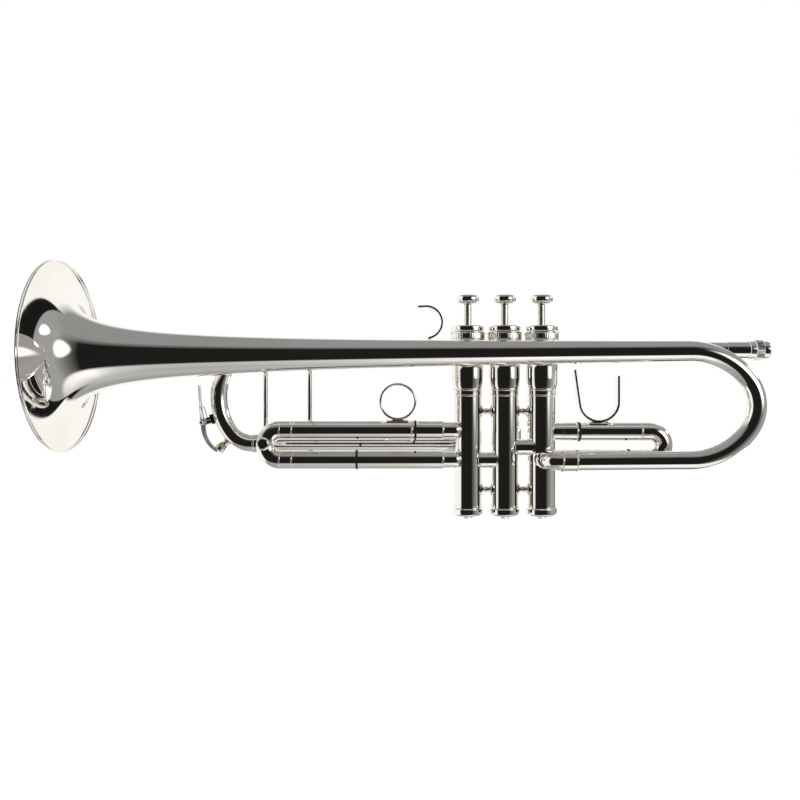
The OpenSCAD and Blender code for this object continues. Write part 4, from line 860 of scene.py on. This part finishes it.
# second slide, on the far side
second = {"top": -2.0, "low": -21.5, "turn": 75.0, "bowFrom": 30.3, "bowRun": 4.0, "knobFrom": 49.75}
secondRows = (second["top"], second["low"])
secondWay = Vector((math.cos(math.radians(second["turn"])), math.sin(math.radians(second["turn"])), 0))
secondPort = ([(7.0, tube["sleeveIn"]), (7.0, tube["sleeve"]), (28.7, tube["sleeve"])]
              + bead(28.8, 29.9, tube["sleeve"], 0.3, 5) + [(30, tube["sleeve"]), (30, tube["sleeveIn"])])
secondLeg = [(10.45, tube["bore"]), (10.45, tube["leg"]), (33, tube["leg"]), (33, tube["bore"])]
knobProfile = [(0, 0), (0, 2.6), (0.8, 1.9), (1.6, 1.6), (3.0, 1.6), (3.6, 2.3), (4.2, 3.0), (5.0, 3.25),
               (5.8, 3.1), (6.6, 2.5), (7.1, 1.6), (7.4, 0)]
bm = bmesh.new()
for z in secondRows:
    turn(bm, secondPort, (0, 0, z), secondWay, tube["sides"])
clearBores(bm, secondWay)
keepPiece(bm, "secondSlidePorts", "second_slide_ports", "instrument", silverPlate, tube["edge"])
bm = bmesh.new()
for z in secondRows:
    turn(bm, secondLeg, (0, 0, z), secondWay, tube["sides"])
keepPiece(bm, "secondSlideLegs", "second_slide_legs", "second_slide", slideNickel, tube["edge"])
bm = bmesh.new()
runTube(bm, Vector((0, 0, second["top"])) + secondWay * second["bowFrom"], secondWay,
        [(second["bowRun"],), (180, (second["top"] - second["low"]) / 2, secondWay.cross(Vector((0, 0, -1)))),
         (second["bowRun"],)], tube["sleeve"], tube["sleeveIn"])
knobFoot = Vector((0, 0, sum(secondRows) / 2)) + secondWay * second["knobFrom"]
turn(bm, knobProfile, knobFoot, secondWay, rodSteps, False)
keepPiece(bm, "secondSlideBow", "second_slide_bow", "second_slide", silverPlate)

# inner tubes as (from, to, y, z), and rubber bumpers as (x, y, z)
innerTubes = [(-139.5, -46.7, third["y"], third["top"]), (-139.5, -46.7, third["y"], third["low"]),
              (36.0, 90.3, 0, firstSlide["top"])]
bumpers = [(-60.9, third["y"], third["top"]), (-99.6, third["y"], third["low"]), (48.9, 0, firstSlide["top"]),
           (82.2, 0, firstSlide["low"])]
bumperProfile = ([(0.1, tube["sleeveIn"]), (0, 6.1)] + bead(0, 1.4, tube["sleeve"], 0.3, 8)
                 + [(1.4, 6.1), (1.3, tube["sleeveIn"])])
bm = bmesh.new()
for start, end, y, z in innerTubes:
    turn(bm, pipeProfile(end - start, tube["leg"], tube["bore"]), (start, y, z), steps=tube["sides"])
keepPiece(bm, "slideInnerTubes", "slide_inner_tubes", "instrument", slideNickel, tube["edge"])
bm = bmesh.new()
for spot in bumpers:
    turn(bm, bumperProfile, spot, steps=tube["sides"])
keepPiece(bm, "slideBumpers", "slide_bumpers", "instrument", blackRubber)
print("second slide, inner tubes and bumpers made")

# tuning slide
tuning = {"x": -173.7, "mid": 17.25, "corner": 19.55, "tip": 41.55, "tipX": -156.1, "braceX": -164.85,
          "braceFoot": 2.6, "braceSeat": 0.2}
bm = bmesh.new()
bowCorner = (archTurn[0], tuning["corner"], (0, -1, 0))
runTube(bm, (tuning["x"], leadLine["y"], leadLine["z"]), (-1, 0, 0),
        [bowCorner, (archTurn[1], tuning["tip"], (0, -1, 0)), bowCorner], tube["bend"], tube["bore"],
        tube["sides"])
keepPiece(bm, "tuningBow", "tuning_slide_bow", "tuning_slide", silverPlate)

tuningLeg = ([(0, tube["bore"]), (0, 6.3)] + bead(0.3, 1.5, 6.3, 0.3, 6)
             + [(4.6, 6.3), (5, tube["leg"]), (95, tube["leg"]), (95, tube["bore"])])
bm = bmesh.new()
for z in leadRows:
    turn(bm, tuningLeg, (tuning["x"] + 0.05, leadLine["y"], z), steps=tube["sides"])
keepPiece(bm, "tuningLegs", "tuning_slide_legs", "tuning_slide", slideNickel, tube["edge"])

bm = bmesh.new()
uprightBrace(bm, tuning["braceX"], tube["leg"], tuning["braceFoot"], tuning["braceSeat"])
keepPiece(bm, "tuningBrace", "tuning_slide_brace", "tuning_slide", silverPlate, braces["edge"])

# water key: saddle with its drip nipple, hinge screw, lever with its cup, cork and spring
key = {"hingeAngle": math.radians(199.0), "hingeReach": 54.95, "earY": 3.4, "ear": (7.6, 1.2, 4.4),
       "earFrom": 51.1, "seat": (2.6, 8.0, 7.0), "seatFrom": 47.9, "dripAngle": math.radians(225.0),
       "dripZ": 4.05, "edge": 0.12}
tipMid = Vector((tuning["tipX"], leadLine["y"], tuning["mid"]))
hingeWay = Vector((math.cos(key["hingeAngle"]), 0, math.sin(key["hingeAngle"])))
hinge = tipMid + hingeWay * key["hingeReach"]
hingePlace = Matrix.Translation(tipMid * mm) @ Matrix.Rotation(-key["hingeAngle"], 4, "Y")
dripWay = (math.cos(key["dripAngle"]), 0, math.sin(key["dripAngle"]))
dripFoot = Vector((tuning["x"], leadLine["y"], key["dripZ"]))
earRing = [(-0.6, 0.9), (-0.6, 2.2), (0.6, 2.2), (0.6, 0.9)]
nipple = [(24.6, 1.4), (24.6, 3.3), (25.7, 3.2), (26.2, 2.6), (26.8, 2.4), (28.0, 2.4), (28.25, 2.2),
          (28.25, 1.4)]
bm = bmesh.new()
for y in (-key["earY"], key["earY"]):
    block(bm, key["ear"], hingePlace @ Matrix.Translation(Vector((key["earFrom"], y, 0)) * mm))
    turn(bm, earRing, hinge + Vector((0, y, 0)), (0, 1, 0), rodSteps)
block(bm, key["seat"], hingePlace @ Matrix.Translation(Vector((key["seatFrom"], 0, 0)) * mm))
turn(bm, nipple, dripFoot, dripWay, rodSteps)
keepPiece(bm, "keySaddle", "water_key_saddle", "tuning_slide", silverPlate, key["edge"])

screw = {"pin": 0.85, "pinSteps": 32, "headSteps": 40, "edge": 0.06}
pinProfile = [(-7.78, 0), (-7.78, screw["pin"]), (7.48, screw["pin"]), (7.48, 0)]
screwHead = [(-8.95, 0), (-8.92, 0.35), (-8.82, 0.75), (-8.62, 1.15), (-8.32, 1.5), (-7.95, 1.75),
             (-7.6, 1.85), (-7.48, 1.7), (-7.48, 0)]
bm = bmesh.new()
turn(bm, pinProfile, hinge, (0, 1, 0), screw["pinSteps"], False)
turn(bm, screwHead, hinge, (0, 1, 0), screw["headSteps"], False)
keepPiece(bm, "keyHingeScrew", "water_key_pin", "tuning_slide", slideNickel, screw["edge"])

lever = {"radius": 20.8, "sweep": 62.8, "from": math.radians(177.8), "centre": (19.9, 0, -2.0), "swell": 1.4,
         "plateLean": math.radians(-3.6), "plateOut": 0.4, "plateIn": (-0.9, 0, 0), "plateFrom": 1.2,
         "plateRuns": [(6.8,), (8.0,), (10.0,)], "spread": 0.18,
         "spreadFrom": 7.0, "spreadOver": 9.0, "thick": 1.6, "thin": 0.4, "thinning": 0.136, "edge": 0.15,
         "hubSteps": 40, "cupSteps": 56}
leverSection = [(-1.2, -1.0), (1.2, -1.0), (2.15, 0.7), (2.05, 0.9), (1.8, 1.0), (-1.8, 1.0), (-2.05, 0.9),
                (-2.15, 0.7)]
leverHub = [(-2.5, 0.9), (-2.5, 1.7), (-2.3, 1.9), (2.3, 1.9), (2.5, 1.7), (2.5, 0.9)]
leverCup = [(32.6, 0), (32.6, 2.9), (30.8, 2.9), (30.8, 3.3), (31.0, 3.5), (33.6, 3.5), (34.1, 3.1),
            (34.25, 2.0), (34.25, 0)]
leverCentre = hinge + Vector(lever["centre"])
leverOut = Vector((math.cos(lever["from"]), 0, math.sin(lever["from"])))
leverWay = Vector((-math.sin(lever["from"]), 0, math.cos(lever["from"])))
bm = bmesh.new()
bendStrip(bm, leverSection, leverCentre + leverOut * lever["radius"], leverWay, leverOut,
          [(lever["sweep"], lever["radius"], (0, -1, 0))])
for v in bm.verts:  # the arm is thickest at the hinge
    off = (v.co / mm - leverCentre) * Vector((1, 0, 1))
    if off.length < lever["radius"]:
        along = math.degrees(math.atan2(off.z, off.x)) % 360 - math.degrees(lever["from"])
        share = 1 - min(max(along / lever["sweep"], 0), 1)
        v.co -= off.normalized() * (lever["radius"] - off.length) * lever["swell"] * share * mm
armPoints = set(bm.verts)
plateUp = Vector((math.sin(lever["plateLean"]), 0, math.cos(lever["plateLean"])))
plateOut = Vector((-math.cos(lever["plateLean"]), 0, math.sin(lever["plateLean"])))
plateStart = hinge + Vector(lever["plateIn"]) + plateOut * lever["plateOut"]
bendStrip(bm, leverSection, plateStart + plateUp * lever["plateFrom"], plateUp, plateOut, lever["plateRuns"])
for v in [v for v in bm.verts if v not in armPoints]:  # thumb plate spreads and thins upwards
    off = v.co / mm - plateStart
    rise, depth = off.dot(plateUp), off.dot(plateOut)
    share = min(max((rise - lever["spreadFrom"]) / lever["spreadOver"], 0.0), 1.0)
    v.co.y += (v.co.y - leadLine["y"] * mm) * lever["spread"] * share
    if depth < 0:
        thick = max(lever["thin"], lever["thick"] - (rise - lever["plateFrom"]) * lever["thinning"])
        v.co += plateOut * mm * depth * (thick - 1.0)
softenEdges(bm, lever["edge"], stripCorner)
turn(bm, leverHub, hinge, (0, 1, 0), lever["hubSteps"])
turn(bm, leverCup, dripFoot, dripWay, lever["cupSteps"], False)
keepPiece(bm, "keyLever", "water_key_lever", "water_key", satinSilver)

corkEdge = 0.1
corkProfile = [(28.55, 0), (28.55, 2.4), (28.9, 2.85), (32.6, 2.85), (32.6, 0)]
turnedPiece("keyCork", "water_key_cork", "water_key", naturalCork, corkProfile, dripFoot, dripWay, rodSteps,
            False, corkEdge)

# wire spring: two coils on the hinge screw and a loop behind the thumb plate
spring = {"wire": 0.35, "coil": 1.7, "y": 4.7, "lean": math.radians(14.8), "sweep": 644.8, "pitch": 1.16,
          "bridge": 11.0, "tail": 6, "steps": 56}
coilHeight = spring["pitch"] * spring["sweep"] / 360
legUp = Vector((-math.sin(spring["lean"]), 0, math.cos(spring["lean"])))
leave = Vector((math.cos(spring["lean"]), 0, math.sin(spring["lean"]))) * spring["coil"]
leave.y = spring["y"]
top = leave + legUp * ((spring["bridge"] - leave.z) / legUp.z)
half = [Vector((spring["tail"], spring["y"] + coilHeight, spring["coil"]))]
for i in range(spring["steps"] + 1):
    done = spring["sweep"] * i / spring["steps"]
    a = math.radians(90 + done)
    half.append(Vector((spring["coil"] * math.cos(a), spring["y"] + coilHeight - spring["pitch"] * done / 360,
                        spring["coil"] * math.sin(a))))
for a in [math.radians(k) for k in range(0, 91, 15)]:  # round corner into the loop
    half.append(top + legUp * (math.sin(a) - 1) - Vector((0, 1 - math.cos(a), 0)))
wirePath = half + [Vector((p.x, -p.y, p.z)) for p in reversed(half)]
curveData = bpy.data.curves.new("keySpringLine", "CURVE")
curveData.dimensions = "3D"
curveData.bevel_depth = spring["wire"] * mm
curveData.bevel_resolution = 3
curveData.use_fill_caps = True
line = curveData.splines.new("POLY")
line.points.add(len(wirePath) - 1)
for point, spot in zip(line.points, wirePath):
    point.co = (*((spot + hinge) * mm), 1)
curveObject = bpy.data.objects.new("keySpringLine", curveData)
scene.collection.objects.link(curveObject)
bm = bmesh.new()
takeMesh(bm, curveObject)
bpy.data.objects.remove(curveObject)
keepPiece(bm, "keySpring", "water_key_spring", "water_key", springWire)
print("tuning slide and water key made")

# valve springs stand on the guides
coil = {"low": 28.15, "high": 58.9, "radius": 5.2, "wire": 0.45, "turns": 8, "steps": 28, "travel": 14.0}
coilLength = coil["high"] - coil["low"]
coilSteps = coil["turns"] * coil["steps"]
coilRise = (coilLength - 2 * coil["wire"]) / coilSteps
for i, x in valveX.items():
    bm = bmesh.new()
    wireEnd = bmesh.ops.create_circle(bm, cap_ends=False, segments=12, radius=coil["wire"] * mm)["verts"]
    wireSpot = Matrix.Translation(Vector((x + coil["radius"], 0, coil["low"] + coil["wire"])) * mm)
    bmesh.ops.transform(bm, matrix=wireSpot @ Matrix.Rotation(math.pi / 2, 4, "X"), verts=wireEnd)
    firstEdges = list(bm.edges)
    lastEdges = onlyEdges(spinRound(bm, wireEnd + firstEdges, (x * mm, 0, 0), upward, 360 * coil["turns"],
                                    coilSteps, lift=(0, 0, coilRise * mm)))
    for ends in (firstEdges, lastEdges):
        bmesh.ops.edgeloop_fill(bm, edges=ends)
    piece = keepPiece(bm, f"valveSpring{i}", f"valve_spring_{i}", "instrument", springWire)
    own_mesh(piece)
print("valve springs made")

# pieces inside the casings keep their CAD shape
insideFinish = {"piston_1": slideNickel, "piston_2": slideNickel, "piston_3": slideNickel,
                "cap_felts": redFelt, "valve_guides": guideNylon}
for nodeName, finish in insideFinish.items():
    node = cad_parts[nodeName]
    node.data.materials.clear()
    node.data.materials.append(finish)
